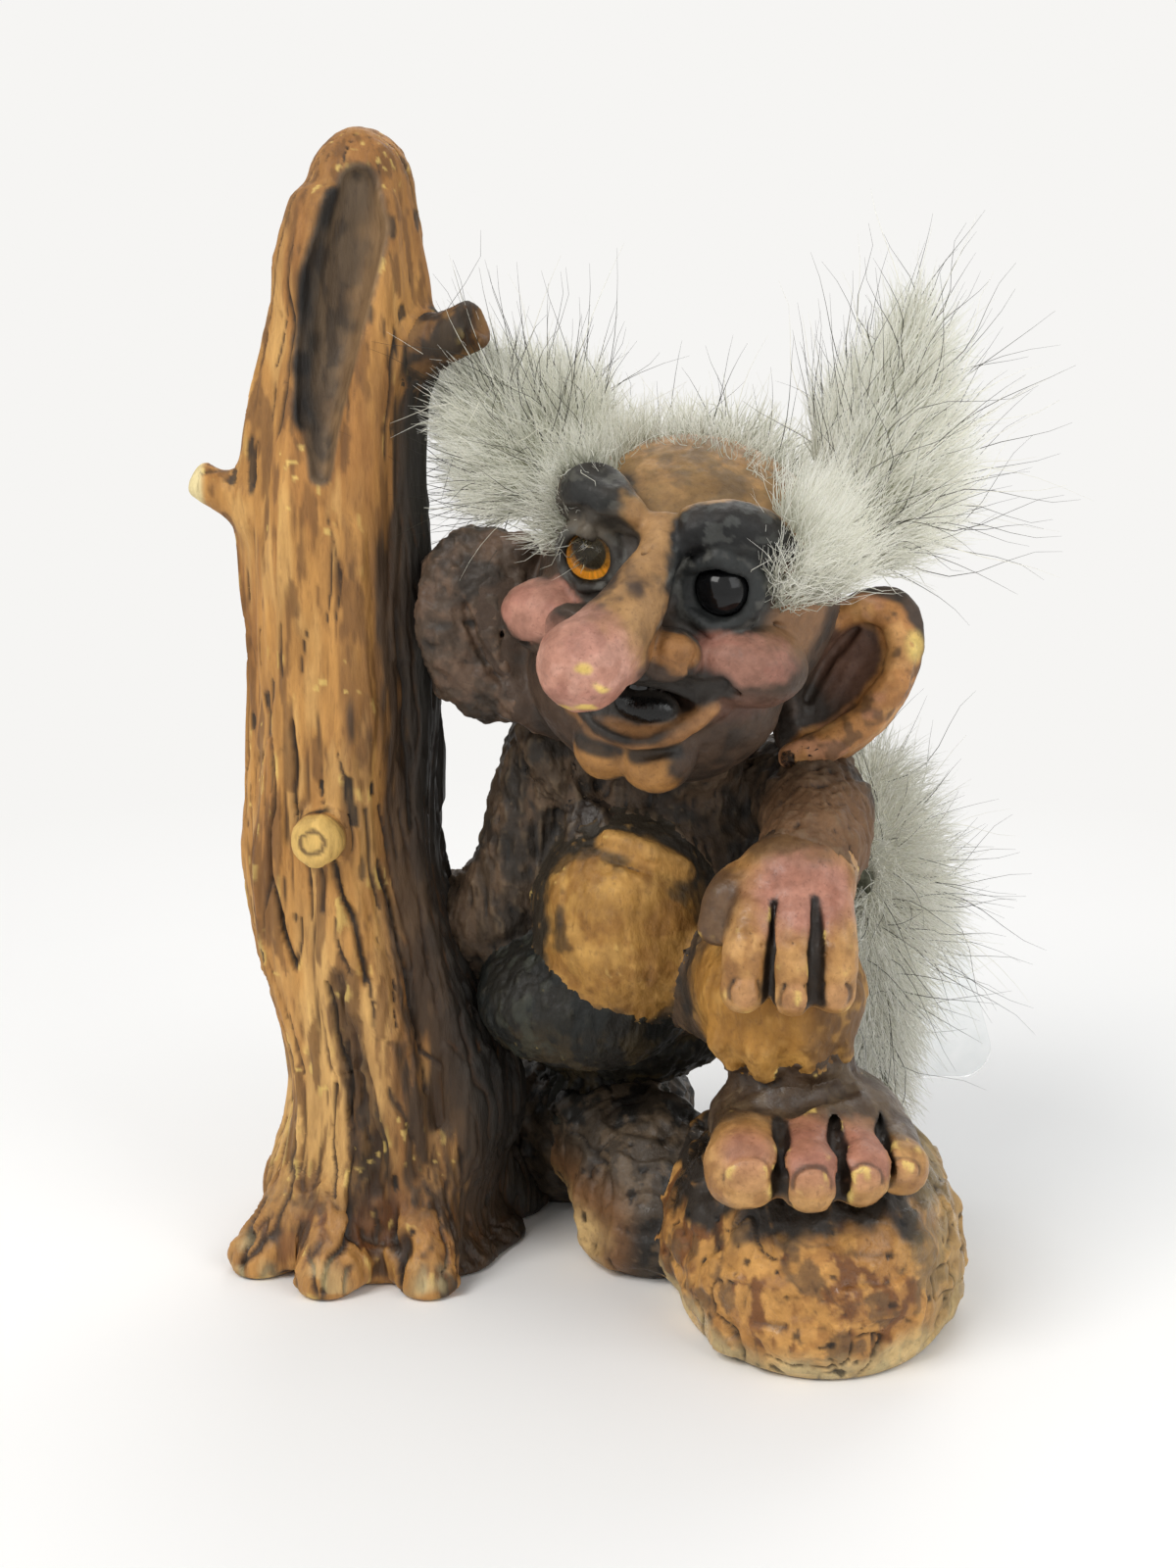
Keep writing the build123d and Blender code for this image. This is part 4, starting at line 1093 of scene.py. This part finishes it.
def sculpt_head():
    """The head and ears: lids, brows, smile, nostrils, creases and ear folds."""
    clay = Clay(HEAD_NODES, 0.45, {"left_ear": 4.0, "right_ear": 4.0}, 2.0)
    clay.soften(0.7)

    def local(stations):
        return ("bar", [(*on_head(s[:3]), s[3]) for s in stations])

    def lump(centre, radii):
        return ("egg", on_head(centre), radii, HEAD_MATRIX)

    # Eye hollows and lids
    clay.carve(lump((-12.5, -31.5, 10), (7.2, 5.0, 6.4)), 2.0)
    clay.carve(lump((14.3, -31.0, 9.8), (8.4, 5.5, 8.0)), 2.0)
    for (centre, radius), thick in ((RIGHT_EYE, 1.5), (LEFT_EYE, 2.0)):
        c = np.array(centre)
        facing = HEAD_MATRIX @ np.array([0.12 * np.sign(c[0]), -1, 0])
        clay.add_ring(on_head(c + (0.0, -0.6, 0.0)), radius + 1.2, thick, facing, 1.0)
    clay.add(local([(6.8, -27.5, 12.5, 1.2), (13.5, -28.6, 16.4, 1.8), (21, -22.5, 12, 1.2)]), 0.9)
    clay.add(local([(7.5, -28, 5, 1.0), (14, -28.0, 2.6, 1.5), (20.5, -23, 4.5, 1.0)]), 0.9)
    clay.add(local([(-17.5, -23, 11.5, 1.0), (-12, -28.6, 15.4, 1.4), (-6.5, -29.5, 12.5, 1.0)]), 0.8)
    clay.add(local([(-18, -23.5, 6.5, 0.9), (-12, -28.6, 4.4, 1.2), (-6.8, -30.5, 6.5, 0.9)]), 0.8)
    # Brows
    clay.carve(lump((-12.5, -28.5, 29.6), (10, 8, 4.8)), 1.0)
    clay.carve(lump((-6.2, -32.0, 15.4), (5.6, 5.4, 4.6)), 1.6)
    clay.carve(local([(-18.5, -25.0, 17.2, 0.9), (-12.8, -31.0, 19.0, 1.9), (-7.0, -32.0, 16.6, 1.4)]), 1.2)
    clay.add(local(RIGHT_BROW), 0.6)
    clay.add(local(LEFT_BROW), 0.9)
    # Cheek pads and the creases round them
    clay.add(lump((20.3, -25.5, -2.2), (9.0, 6.2, 4.2)), 1.4)
    clay.add(lump((-19, -25.0, -2.8), (8.4, 6.0, 4.8)), 1.4)
    clay.carve(local([(11, -37.5, -4.2, 0.5), (17.5, -33.5, -7.4, 0.9), (26, -26.5, -7.2, 0.5)]), 0.9)
    clay.carve(local([(13.5, -34, 2.2, 0.4), (20, -31, 2.6, 0.6), (27, -24, 2.4, 0.4)]), 0.8)
    clay.carve(local([(14.5, -35.5, 1.6, 0.5), (13.6, -36.5, -2.2, 0.8), (13.5, -36, -5, 0.5)]), 0.8)
    clay.carve(local([(-27, -24, -9.5, 0.5), (-20, -30.5, -9.0, 0.9), (-13, -34, -7.5, 0.5)]), 0.9)
    # Nostril wing and nostrils
    clay.carve(lump((-12.8, -39.0, -2.0), (5.4, 4.8, 5.4)), 1.2)
    clay.add(lump((10.0, -37.0, 0.4), (4.2, 3.6, 2.9)), 0.9)
    clay.carve(local([(6.2, -41.0, 3.4, 0.4), (6.0, -42, 0.5, 0.7), (6.0, -42, -3.0, 0.5)]), 0.8)
    clay.carve(lump((-5.5, -50, -9.6), (1.7, 2.4, 1.7)), 0.7)
    clay.carve(lump((2.5, -49, -9.6), (1.7, 2.4, 1.7)), 0.7)
    # Mouth, tongue and lip
    clay.carve(local(SMILE), 0.8)
    clay.add(lump((4.5, -31.5, -14.0), (6.8, 4.5, 3.6)), 0.6)
    clay.add(local(LOWER_LIP), 0.8)
    # Chin
    clay.add(lump((-2.8, -29.0, -27.2), (5.2, 5.0, 4.4)), 1.0)
    clay.add(lump((7.2, -29.5, -26.8), (5.2, 5.0, 4.4)), 1.0)
    clay.carve(local([(2.3, -35.5, -24, 0.5), (2.2, -35.0, -32, 1.0)]), 0.7)
    clay.carve(local([(-8, -35.5, -22.8, 0.5), (3, -38.0, -23.3, 1.2), (13, -33, -20.4, 0.5)]), 0.9)
    # Crow's feet and brow furrows
    for k in range(3):
        clay.carve(local([(22.4, -20.5 + k, 9.5 - 3.4 * k, 0.5), (27.8, -14, 10.5 - 4.6 * k, 0.3)]), 0.6)
    for x in (-1.8, 1.6):
        clay.carve(local([(x, -34, 20, 0.4), (x * 1.2, -36, 14.5, 0.5)]), 0.7)
    # Ears
    clay.add(("bar", EAR_RIM), 1.0)

    def ear(u, v, w, r):
        return (*(EAR_MIDDLE + EAR_ALONG * u + EAR_ACROSS * v + EAR_FACING * w), r)

    clay.add(("bar", [ear(10, -2, -0.5, 1.0), ear(3, 1.0, -1.0, 1.5), ear(-5, 0.5, -1.0, 1.3)]), 1.0)
    clay.carve(("bar", [ear(9, 4.0, 1.5, 1.0), ear(0, 5.4, 0.5, 1.5), ear(-8, 4, 1.0, 1.1)]), 1.0)
    clay.add(("egg", (-18.5, -6.5, 136.0), (11.5, 5.0, 16.5)), 3.0)
    clay.add(("bar", [(-19, -7, 127, 4.5), (-13, -9, 122, 4.6), (-6, -8.5, 118.5, 4.2)]), 2.5)
    ear_edge = [(-14, -5, 151.5, 4.0), (-24, -3, 151.5, 4.0), (-29.5, -1, 148, 3.4), (-30.5, -1, 137, 3.6)]
    clay.add(("bar", ear_edge), 2.5)
    clay.add(("bar", [(-30.5, -1, 137, 3.6), (-28.0, -2, 125, 3.8)]), 2.5)
    clay.carve(("bar", [(-24, -10, 142, 0.6), (-22, -11, 134, 1.2), (-17, -12, 127, 0.8)]), 1.0)
    clay.carve(("bar", [(-16, -9, 144, 0.5), (-17, -10, 136, 1.1)]), 1.0)
    for centre, radius in (RIGHT_EYE, LEFT_EYE):
        clay.carve(("egg", on_head(centre), (radius + 0.1,) * 3), 0.2)
    return clay


BODY_STYLE = {
    "seat_rock": (dress_rock, ROCK, "rock"),
    "middle_rock": (dress_rock, ROCK, "rock"),
    "foot_rock": (dress_rock, ROCK, "rock"),
    "torso": (dress_cloth, CLOTH, "shirt"),
    "left_arm": (dress_cloth, CLOTH, "shirt"),
    "right_arm": (dress_cloth, CLOTH, "shirt"),
    "trouser_seat": (dress_cloth, CLOTH, "trousers"),
    "trouser_bib": (dress_cloth, CLOTH, "trousers"),
    "right_trouser_leg": (dress_cloth, CLOTH, "trousers"),
    "left_trouser_leg": (dress_cloth, CLOTH, "trousers"),
    "shoulder_strap": (dress_cloth, CLOTH, "trousers"),
    "strap_button": (dress_cloth, CLOTH, "button"),
    "left_shin": (dress_skin, SKIN, "skin"),
    "left_foot": (dress_skin, SKIN, "skin"),
    "left_hand": (dress_skin, SKIN, "skin"),
}


def build_pieces(clay, style):
    """One painted piece for each solid in the clay."""
    made = {}
    for name in clay.names:
        dress, material, slot = style[name]
        surface = Surface(*clay.piece(name))
        surface.points = surface.net.average(surface.points, 1) * 0.5 + surface.points * 0.5
        coat = dress(name, surface)
        attributes = {"paint": coat.colour, "shine": coat.shine}
        obj = make_object(name + "_skin", surface.points, surface.quads, "figure", material, attributes)
        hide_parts(name)
        made[name] = surface
    return made


# Fur


def fur_material(name):
    """Long synthetic fur: each strand's own colour, with a soft sheen."""
    n = Nodes(name)
    paint = n.attribute("paint", "Color")
    streak = n.noise(n.place((1, 1, 1)), 420, 2.0)
    shade = n.mix(1.0, paint, (0.80, 0.84, 0.76, 1), "MULTIPLY")
    colour = n.mix(n.spread(streak, 0.35, 0.65, 0.25, 0.0), paint, shade)
    n.set(Base_Color=colour, Roughness=n.spread(streak, 0.3, 0.7, 0.5, 0.65), Specular_IOR_Level=0.25)
    return n.material


FUR = fur_material("fur_strands")
# The next colour is the fur's painted shade: the strand roots and the pelt grounds take it, standing in for
# the shade deep in the fur
FUR_SHADE = rgb(132, 133, 112)
FUR_MID = rgb(240, 237, 222)
FUR_PALE = rgb(255, 254, 249)
FUR_DARK = rgb(52, 50, 42)
# The tail's roots take a lighter painted shade
TAIL_SHADE = FUR_MID * 0.8
CORE_TIP = 48.0  # height under which the tail's core gets strands of its own
FUR_CLUMP = 0.5  # how far strand tips are drawn together into locks
GUARD_THICK = 0.13


class Pelt:
    """Strands of fur, and the padded ground that they grow from, gathered into one mesh."""

    def __init__(self, seed):
        self.random = np.random.default_rng(seed)
        self.points, self.faces, self.colours, self.count = [], [], [], 0

    def ground(self, points, quads, colour):
        """Adds the ground."""
        self.points.append(points)
        self.faces.append(quads + self.count)
        self.colours.append(np.tile(colour, (len(points), 1)))
        self.count += len(points)

    def strands(self, roots, aims, lengths, thick, tones, steps=3, stray=0.25, clump=0.0, sag=0.0):
        """Adds tapered three-sided strands from roots along aims; tones are the colours at root and tip."""
        r = self.random
        count = len(roots)
        aims = unit(aims + r.normal(0, stray, (count, 3)))
        side = unit(np.cross(aims, r.normal(0, 1, (count, 3))))
        bend = r.normal(0, 0.22, count)[:, None]
        wave = r.normal(0, 0.07, count)[:, None]
        t = np.linspace(0, 1, steps + 1)
        across = np.cross(aims, side)
        path = []
        for s in t:
            curl = across * wave * math.sin(5.0 * s)
            path.append(roots + lengths[:, None] * (aims * s + side * bend * s * s + curl))
        if clump:
            cell = np.floor(roots / 3.2 + 0.35 * np.sin(roots[:, ::-1] / 5.0)).astype(np.int64)
            _, group = np.unique(cell, axis=0, return_inverse=True)
            group = group.ravel()
            size = np.bincount(group)
            tip = np.stack([np.bincount(group, path[-1][:, k]) for k in range(3)], 1) / size[:, None]
            pull = tip[group] - path[-1]
            path = [a + pull * clump * s**1.4 for a, s in zip(path, t)]
        drop = np.array([0.0, 0.0, -sag])
        path = [a + drop * lengths[:, None] * s * s for a, s in zip(path, t)]
        for s, place in zip(t, path):
            radius = (thick * (1 - 0.85 * s))[:, None]
            for k in range(3):
                a = 2 * math.pi * k / 3
                self.points.append(place + radius * (side * math.cos(a) + across * math.sin(a)))
                self.colours.append(tones[0] * (1 - s) + tones[1] * s)
        base = self.count + np.arange(count)
        for j in range(steps):
            for k in range(3):
                a, b = 3 * j + k, 3 * j + (k + 1) % 3
                quad = [base + count * a, base + count * b, base + count * (b + 3), base + count * (a + 3)]
                self.faces.append(np.stack(quad, 1))
        self.count += count * 3 * (steps + 1)

    def finish(self, name, body, *nodes):
        """Makes the object."""
        points = np.concatenate(self.points)
        attributes = {"paint": np.concatenate(self.colours)}
        obj = make_object(name, points, np.concatenate(self.faces), body, FUR, attributes)
        obj.visible_shadow = False  # fine pale fibres let the light through, so they don't shade one another
        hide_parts(*nodes)


def fur_ground(name, shrink):
    """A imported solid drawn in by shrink, with a lumpy surface."""
    clay = Clay([name], 1.0)
    clay.total = clay.total + shrink
    ground = Surface(*clay.piece(name))
    ground.push((layered(ground.points, 7, 201, 2) - 0.5) * 3.0)
    ground.normals = normals_of(ground.points, ground.quads)
    return ground


def start_pelt(seed, name, shrink, colour):
    """A pelt on the drawn-in ground of a packed fur solid, and that ground."""
    pelt = Pelt(seed)
    ground = fur_ground(name, shrink)
    pelt.ground(ground.points, ground.quads, colour)
    return pelt, ground


def fan(points, origin, squeeze):
    """Directions that fan out from an origin; squeeze scales each axis first."""
    return unit((points - np.asarray(origin)) * np.asarray(squeeze))


def tone_pair(random, count, pale, deep):
    """Root and tip colours of each strand; the darker roots are painted shade deep in the fur."""
    mixed = np.clip(random.normal(pale, 0.30, count), 0, 1)[:, None]
    tip = FUR_MID * (1 - mixed) + FUR_PALE * mixed
    root = deep * (1 - 0.5 * mixed) + FUR_MID * 0.5 * mixed
    return root, tip


def grow(
    pelt, surface, count, length, aim, stray=0.42, pale=0.5, thick=0.14, sag=0.0, where=None, deep=FUR_SHADE
):
    """Grows fur over a surface, where a mask allows; aim turns roots into directions."""
    r = pelt.random
    keep = np.arange(len(surface.points)) if where is None else np.flatnonzero(where)
    pick = r.choice(keep, count)
    roots = surface.points[pick] + r.normal(0, 0.4, (count, 3))
    normals = surface.normals[pick]
    lengths = length * np.clip(r.normal(1.0, 0.25, count), 0.45, 1.6)
    aims = unit(aim(roots) + normals * 0.35)
    thickness = thick * r.uniform(0.7, 1.3, count)
    tones = tone_pair(r, count, pale, deep)
    pelt.strands(roots, aims, lengths, thickness, tones, 4, stray, FUR_CLUMP, sag)


def guard(pelt, surface, count, low, high, aim, stray=0.30):
    """Adds long sparse hairs, most of them dark."""
    r = pelt.random
    pick = r.choice(np.arange(len(surface.points)), count)
    roots = surface.points[pick]
    aims = unit(aim(roots) + surface.normals[pick] * 0.5)
    lengths = r.uniform(low, high, count)
    dark = r.uniform(0, 1, (count, 1)) < 0.75
    tip = np.where(dark, FUR_DARK * r.uniform(0.5, 1.4, (count, 1)), FUR_MID)
    root = np.where(dark, FUR_DARK * 1.6, FUR_MID)
    pelt.strands(roots, aims, lengths, np.full(count, GUARD_THICK), (root, tip), 6, stray)


def build_fur(head):
    """The hair on the head and the tail."""
    q = in_head(head.points)
    temple = (q[:, 0] > 20.5) & (q[:, 1] > -19) & (q[:, 2] > 5) & (q[:, 1] < 6)
    crown = (q[:, 2] > 24.5) & (q[:, 1] > -6)
    brow_side = (q[:, 0] < -13.5) & (q[:, 1] > -22) & (q[:, 2] > 8) & (q[:, 1] < 8)

    def left_aim(points):
        return fan(points, (36, 10, 130), (1.0, 0.45, 1.0))

    def right_aim(points):
        return fan(points, (4, 12, 154), (1.0, 0.5, 1.0))

    def back_aim(points):
        out = fan(points, (20, -6, 142), (0.9, 1.0, 1.0))
        fall = np.array([0, 0, 0.6]) * smooth(150, 120, points[:, 2])[:, None]
        return unit(out + np.array([0, 0.25, 0.0]) - fall)

    def tail_aim(points):
        out = unit((points - np.array([61, 22, 0])) * np.array([1, 0.8, 0]))
        up = np.interp(points[:, 2], [25, 55, 78, 92], [-1.5, -0.8, 0.1, 1.4])
        return unit(out * 0.8 + np.stack([0 * up + 0.2, 0 * up, up], 1))

    # Each pelt's ground is painted in a shaded fur colour: painted shade under the strands
    pelt, left = start_pelt(11, "hair_left", 5.0, FUR_SHADE)
    grow(pelt, left, 5600, 13.0, left_aim, pale=0.85)
    grow(pelt, head, 1900, 15.0, left_aim, pale=0.7, where=temple)
    guard(pelt, left, 260, 14, 34, left_aim)
    pelt.finish("hair_left_fur", "figure", "hair_left")

    pelt, right = start_pelt(12, "hair_right", 4.5, FUR_SHADE)
    grow(pelt, right, 5600, 11.5, right_aim, pale=0.45)
    grow(pelt, head, 1500, 11.0, right_aim, pale=0.4, where=brow_side)
    guard(pelt, right, 300, 12, 32, right_aim, stray=0.40)
    pelt.finish("hair_right_fur", "figure", "hair_right")

    pelt, back = start_pelt(13, "hair_back", 5.0, FUR_SHADE)
    grow(pelt, back, 5400, 11.0, back_aim, pale=0.5, thick=0.18)
    grow(pelt, head, 420, 6.0, back_aim, stray=0.6, pale=0.8, thick=0.10, where=crown)
    guard(pelt, back, 190, 12, 28, back_aim)
    pelt.finish("hair_back_fur", "figure", "hair_back", "hair_hide")

    pelt, tail = start_pelt(14, "tail_fur", 4.5, FUR_MID * 0.6)
    grow(pelt, tail, 7000, 13.0, tail_aim, pale=0.95, sag=0.1, deep=TAIL_SHADE)
    guard(pelt, tail, 280, 14, 32, tail_aim, stray=0.4)
    core = fur_ground("tail_core", 0.0)
    core_tip = core.points[:, 2] < CORE_TIP
    grow(pelt, core, 900, 9.0, tail_aim, pale=0.95, thick=0.18, sag=0.1, where=core_tip, deep=TAIL_SHADE)
    pelt.finish("tail_fur_strands", "tail", "tail_fur")


# Small parts


def head_place(n, centre):
    """Shader coordinates in the head's own axes, in metres from a centre."""
    coords = n.new("ShaderNodeTexCoord").outputs["Object"]
    middle = (on_head(centre) + BENCH) * MM
    moved = n.new("ShaderNodeVectorMath", {0: coords, 1: tuple(middle)}, operation="SUBTRACT").outputs[0]
    axes = []
    for k in range(3):
        inputs = {0: moved, 1: tuple(HEAD_MATRIX[:, k])}
        axes.append(n.new("ShaderNodeVectorMath", inputs, operation="DOT_PRODUCT").outputs["Value"])
    return axes


def iris_material(name, eye, bright, deep, pupil, glow, gaze=(0.0, 0.0, 0.0)):
    """A glass eye's painted back: a black pupil, off the middle by gaze, in a rayed iris, brighter below as
    painted light gathered by the glass, and glowing faintly as painted light.
    """
    n = Nodes(name)
    centre, radius = eye
    x, _, z = head_place(n, np.array(centre) + gaze)
    flat = n.new("ShaderNodeCombineXYZ", {"X": x, "Z": z}).outputs[0]
    out = n.new("ShaderNodeVectorMath", {0: flat}, operation="LENGTH").outputs["Value"]
    rays = n.noise(n.new("ShaderNodeVectorMath", {0: flat}, operation="NORMALIZE").outputs[0], 9.0, 3.0)
    # Painted light: brighter below, where the glass gathers the light, darker above
    colour = n.mix(n.spread(z, -0.6 * radius * MM, 0.6 * radius * MM), (*bright, 1), (*deep, 1))
    colour = n.mix(n.spread(rays, 0.35, 0.65, 0.45, 0.0), colour, (*(deep * 0.4), 1))
    edge = n.spread(out, pupil * MM, (pupil + 0.25) * MM, 1.0, 0.0)
    colour = n.mix(edge, colour, (0.004, 0.004, 0.004, 1))
    n.set(Base_Color=colour, Roughness=n.spread(rays, 0.3, 0.7, 0.25, 0.4))
    # The iris glows by glow: painted light that stands in for light passing through the glass
    n.set(Emission_Color=colour, Emission_Strength=glow)
    return n.material


def glass_material(name, tint, rough_low, rough_high, index=1.48):
    """Clear glass or plastic with faint smears."""
    n = Nodes(name)
    smear = n.noise(n.place(), 300, 3.0)
    n.set(Base_Color=n.mix(smear, (*tint, 1), (1, 1, 1, 1)))
    n.set(Roughness=n.spread(smear, 0.4, 0.7, rough_low, rough_high), Transmission_Weight=1.0, IOR=index)
    return n.material


def speckled_material(name, base, dark, scale, rough, bump_mm):
    """A small painted or moulded part: mottled colour and a fine rough skin."""
    n = Nodes(name)
    mottle = n.noise(n.place(), scale, 4.0)
    n.set(Base_Color=n.mix(n.spread(mottle, 0.35, 0.65), (*dark, 1), (*base, 1)))
    n.set(Roughness=n.spread(mottle, 0.3, 0.7, rough, rough + 0.15), Normal=n.bump(mottle, bump_mm * MM))
    return n.material


def paint_node(name, material):
    """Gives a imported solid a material."""
    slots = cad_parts[name].data.materials
    slots.clear()
    slots.append(material)


def tooth_material():
    """Glazed teeth: ivory on the head's right, black on its left."""
    n = Nodes("tooth_glaze")
    across = head_place(n, (-0.5, 0, 0))[0]
    mottle = n.noise(n.place(), 500, 3.0)
    ivory = n.mix(mottle, (*rgb(206, 196, 170), 1), (*rgb(238, 234, 222), 1))
    side = n.spread(across, -0.2 * MM, 0.2 * MM)
    n.set(Base_Color=n.mix(side, ivory, (*rgb(20, 20, 22), 1)))
    n.set(Roughness=n.spread(mottle, 0.3, 0.7, 0.12, 0.25))
    return n.material


def build_small_parts():
    """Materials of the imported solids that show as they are."""
    # The amber iris: the change from bright amber below to darker amber above, and its faint glow, are
    # painted light
    amber = rgb(236, 170, 34)
    shaded_amber = rgb(74, 42, 8)
    # The left eye's iris and glass are painted near-black: painted shade on an eye taken to be amber like the
    # right one
    eye_shade_black = rgb(30, 28, 26)
    gaze = (-0.7, 0.0, -0.1)
    paint_node("right_eye_iris", iris_material("amber_iris", RIGHT_EYE, amber, shaded_amber, 2.5, 0.25, gaze))
    paint_node("left_eye_iris", iris_material("dark_iris", LEFT_EYE, eye_shade_black, eye_shade_black * 0.4, 2.6, 0.0))
    paint_node("right_eye_glass", glass_material("amber_glass", rgb(255, 226, 150), 0.0, 0.06, 1.25))
    shaded_eye_glass = speckled_material("shaded_eye_glass", rgb(16, 16, 17), rgb(9, 9, 10), 400, 0.04, 0.0)
    shaded_eye_glass.node_tree.nodes["Principled BSDF"].inputs["Specular IOR Level"].default_value = 0.3
    paint_node("left_eye_glass", shaded_eye_glass)
    paint_node("teeth", tooth_material())
    paint_node("tag", glass_material("tag_plastic", rgb(236, 240, 240), 0.05, 0.16))
    pin = speckled_material("pin_plastic", rgb(56, 66, 62), rgb(34, 42, 40), 700, 0.4, 0.1)
    paint_node("tag_pin", pin)
    hide = speckled_material("tail_hide", rgb(150, 152, 132), rgb(104, 104, 88), 900, 0.7, 0.3)
    paint_node("tail_core", hide)


# Stage

PAPER = rgb(246, 245, 243)


def seen_directly(tree):
    """1 for rays that show the backdrop: straight from the camera, in a reflection or through glass."""
    path = tree.nodes.new("ShaderNodeLightPath")
    total = None
    for key in ("Is Camera Ray", "Is Glossy Ray", "Is Transmission Ray"):
        if total is None:
            total = path.outputs[key]
            continue
        node = tree.nodes.new("ShaderNodeMath")
        node.operation = "MAXIMUM"
        tree.links.new(total, node.inputs[0])
        tree.links.new(path.outputs[key], node.inputs[1])
        total = node.outputs[0]
    return total


def build_stage():
    """Camera, floor, lamps and world."""
    scene = bpy.context.scene
    scene.view_settings.view_transform = "Standard"
    drop = math.radians(CAMERA_DROP)
    target = (np.array(CAMERA_TARGET) + BENCH) * MM
    away = np.array([0, -math.cos(drop), math.sin(drop)]) * CAMERA_DISTANCE * MM
    data = bpy.data.cameras.new("camera")
    data.lens = CAMERA_LENS
    data.sensor_width = 36.0
    data.clip_start = 0.01
    camera = bpy.data.objects.new("camera", data)
    camera.location = target + away
    camera.rotation_euler = (math.pi / 2 - drop, 0, 0)
    scene.collection.objects.link(camera)
    scene.camera = camera

    bpy.ops.mesh.primitive_plane_add(size=FLOOR_SIZE, location=(0, 0, -FLOOR_DROP))
    floor = bpy.context.object
    floor.name = "floor"
    n = Nodes("floor_paper")
    where = n.place()
    tone = n.spread(n.noise(where, 3.0, 3.0), 0.3, 0.7, 0.90, 0.94)
    n.set(Base_Color=n.mix(tone, (0, 0, 0, 1), (1.0, 0.995, 0.985, 1)), Roughness=0.9, Specular_IOR_Level=0.1)
    far = n.new("ShaderNodeVectorMath", {0: where}, operation="LENGTH").outputs["Value"]
    far = n.spread(far, *FLOOR_FADE)
    light = n.new("ShaderNodeEmission", {"Color": (*PAPER, 1), "Strength": 1.0}).outputs[0]
    share = n.math("MULTIPLY", far, seen_directly(n.tree))
    mixed = n.new("ShaderNodeMixShader", {0: share, 1: n.shader.outputs[0], 2: light}).outputs[0]
    n.tree.links.new(mixed, n.tree.nodes["Material Output"].inputs["Surface"])
    floor.data.materials.append(n.material)

    for name, place, aim, size, power, colour in LAMPS:
        light = bpy.data.lights.new(name, "AREA")
        light.size = size
        light.energy = power
        light.color = colour
        obj = bpy.data.objects.new(name, light)
        obj.location = place
        toward = np.array(aim) - np.array(place)
        x, y, z = toward / np.linalg.norm(toward)
        obj.rotation_euler = (math.acos(-z), 0, math.atan2(y, x) - math.pi / 2)
        scene.collection.objects.link(obj)

    world = bpy.data.worlds.new("studio")
    scene.world = world
    world.use_nodes = True
    tree = world.node_tree
    soft = tree.nodes["Background"]
    soft.inputs["Color"].default_value = (0.94, 0.95, 0.96, 1)
    soft.inputs["Strength"].default_value = 0.5
    shown = tree.nodes.new("ShaderNodeBackground")
    shown.inputs["Color"].default_value = (*PAPER, 1)
    shown.inputs["Strength"].default_value = 1.0
    mixed = tree.nodes.new("ShaderNodeMixShader")
    tree.links.new(seen_directly(tree), mixed.inputs[0])
    tree.links.new(soft.outputs[0], mixed.inputs[1])
    tree.links.new(shown.outputs[0], mixed.inputs[2])
    tree.links.new(mixed.outputs[0], tree.nodes["World Output"].inputs["Surface"])


build_pieces(sculpt_snag(), {n: (dress_snag, BARK, "bark") for n in SNAG_NODES})
build_pieces(sculpt_body(), BODY_STYLE)
face = build_pieces(sculpt_head(), {n: (dress_head, SKIN, "skin") for n in HEAD_NODES})
build_fur(face["head"])
build_small_parts()
build_stage()
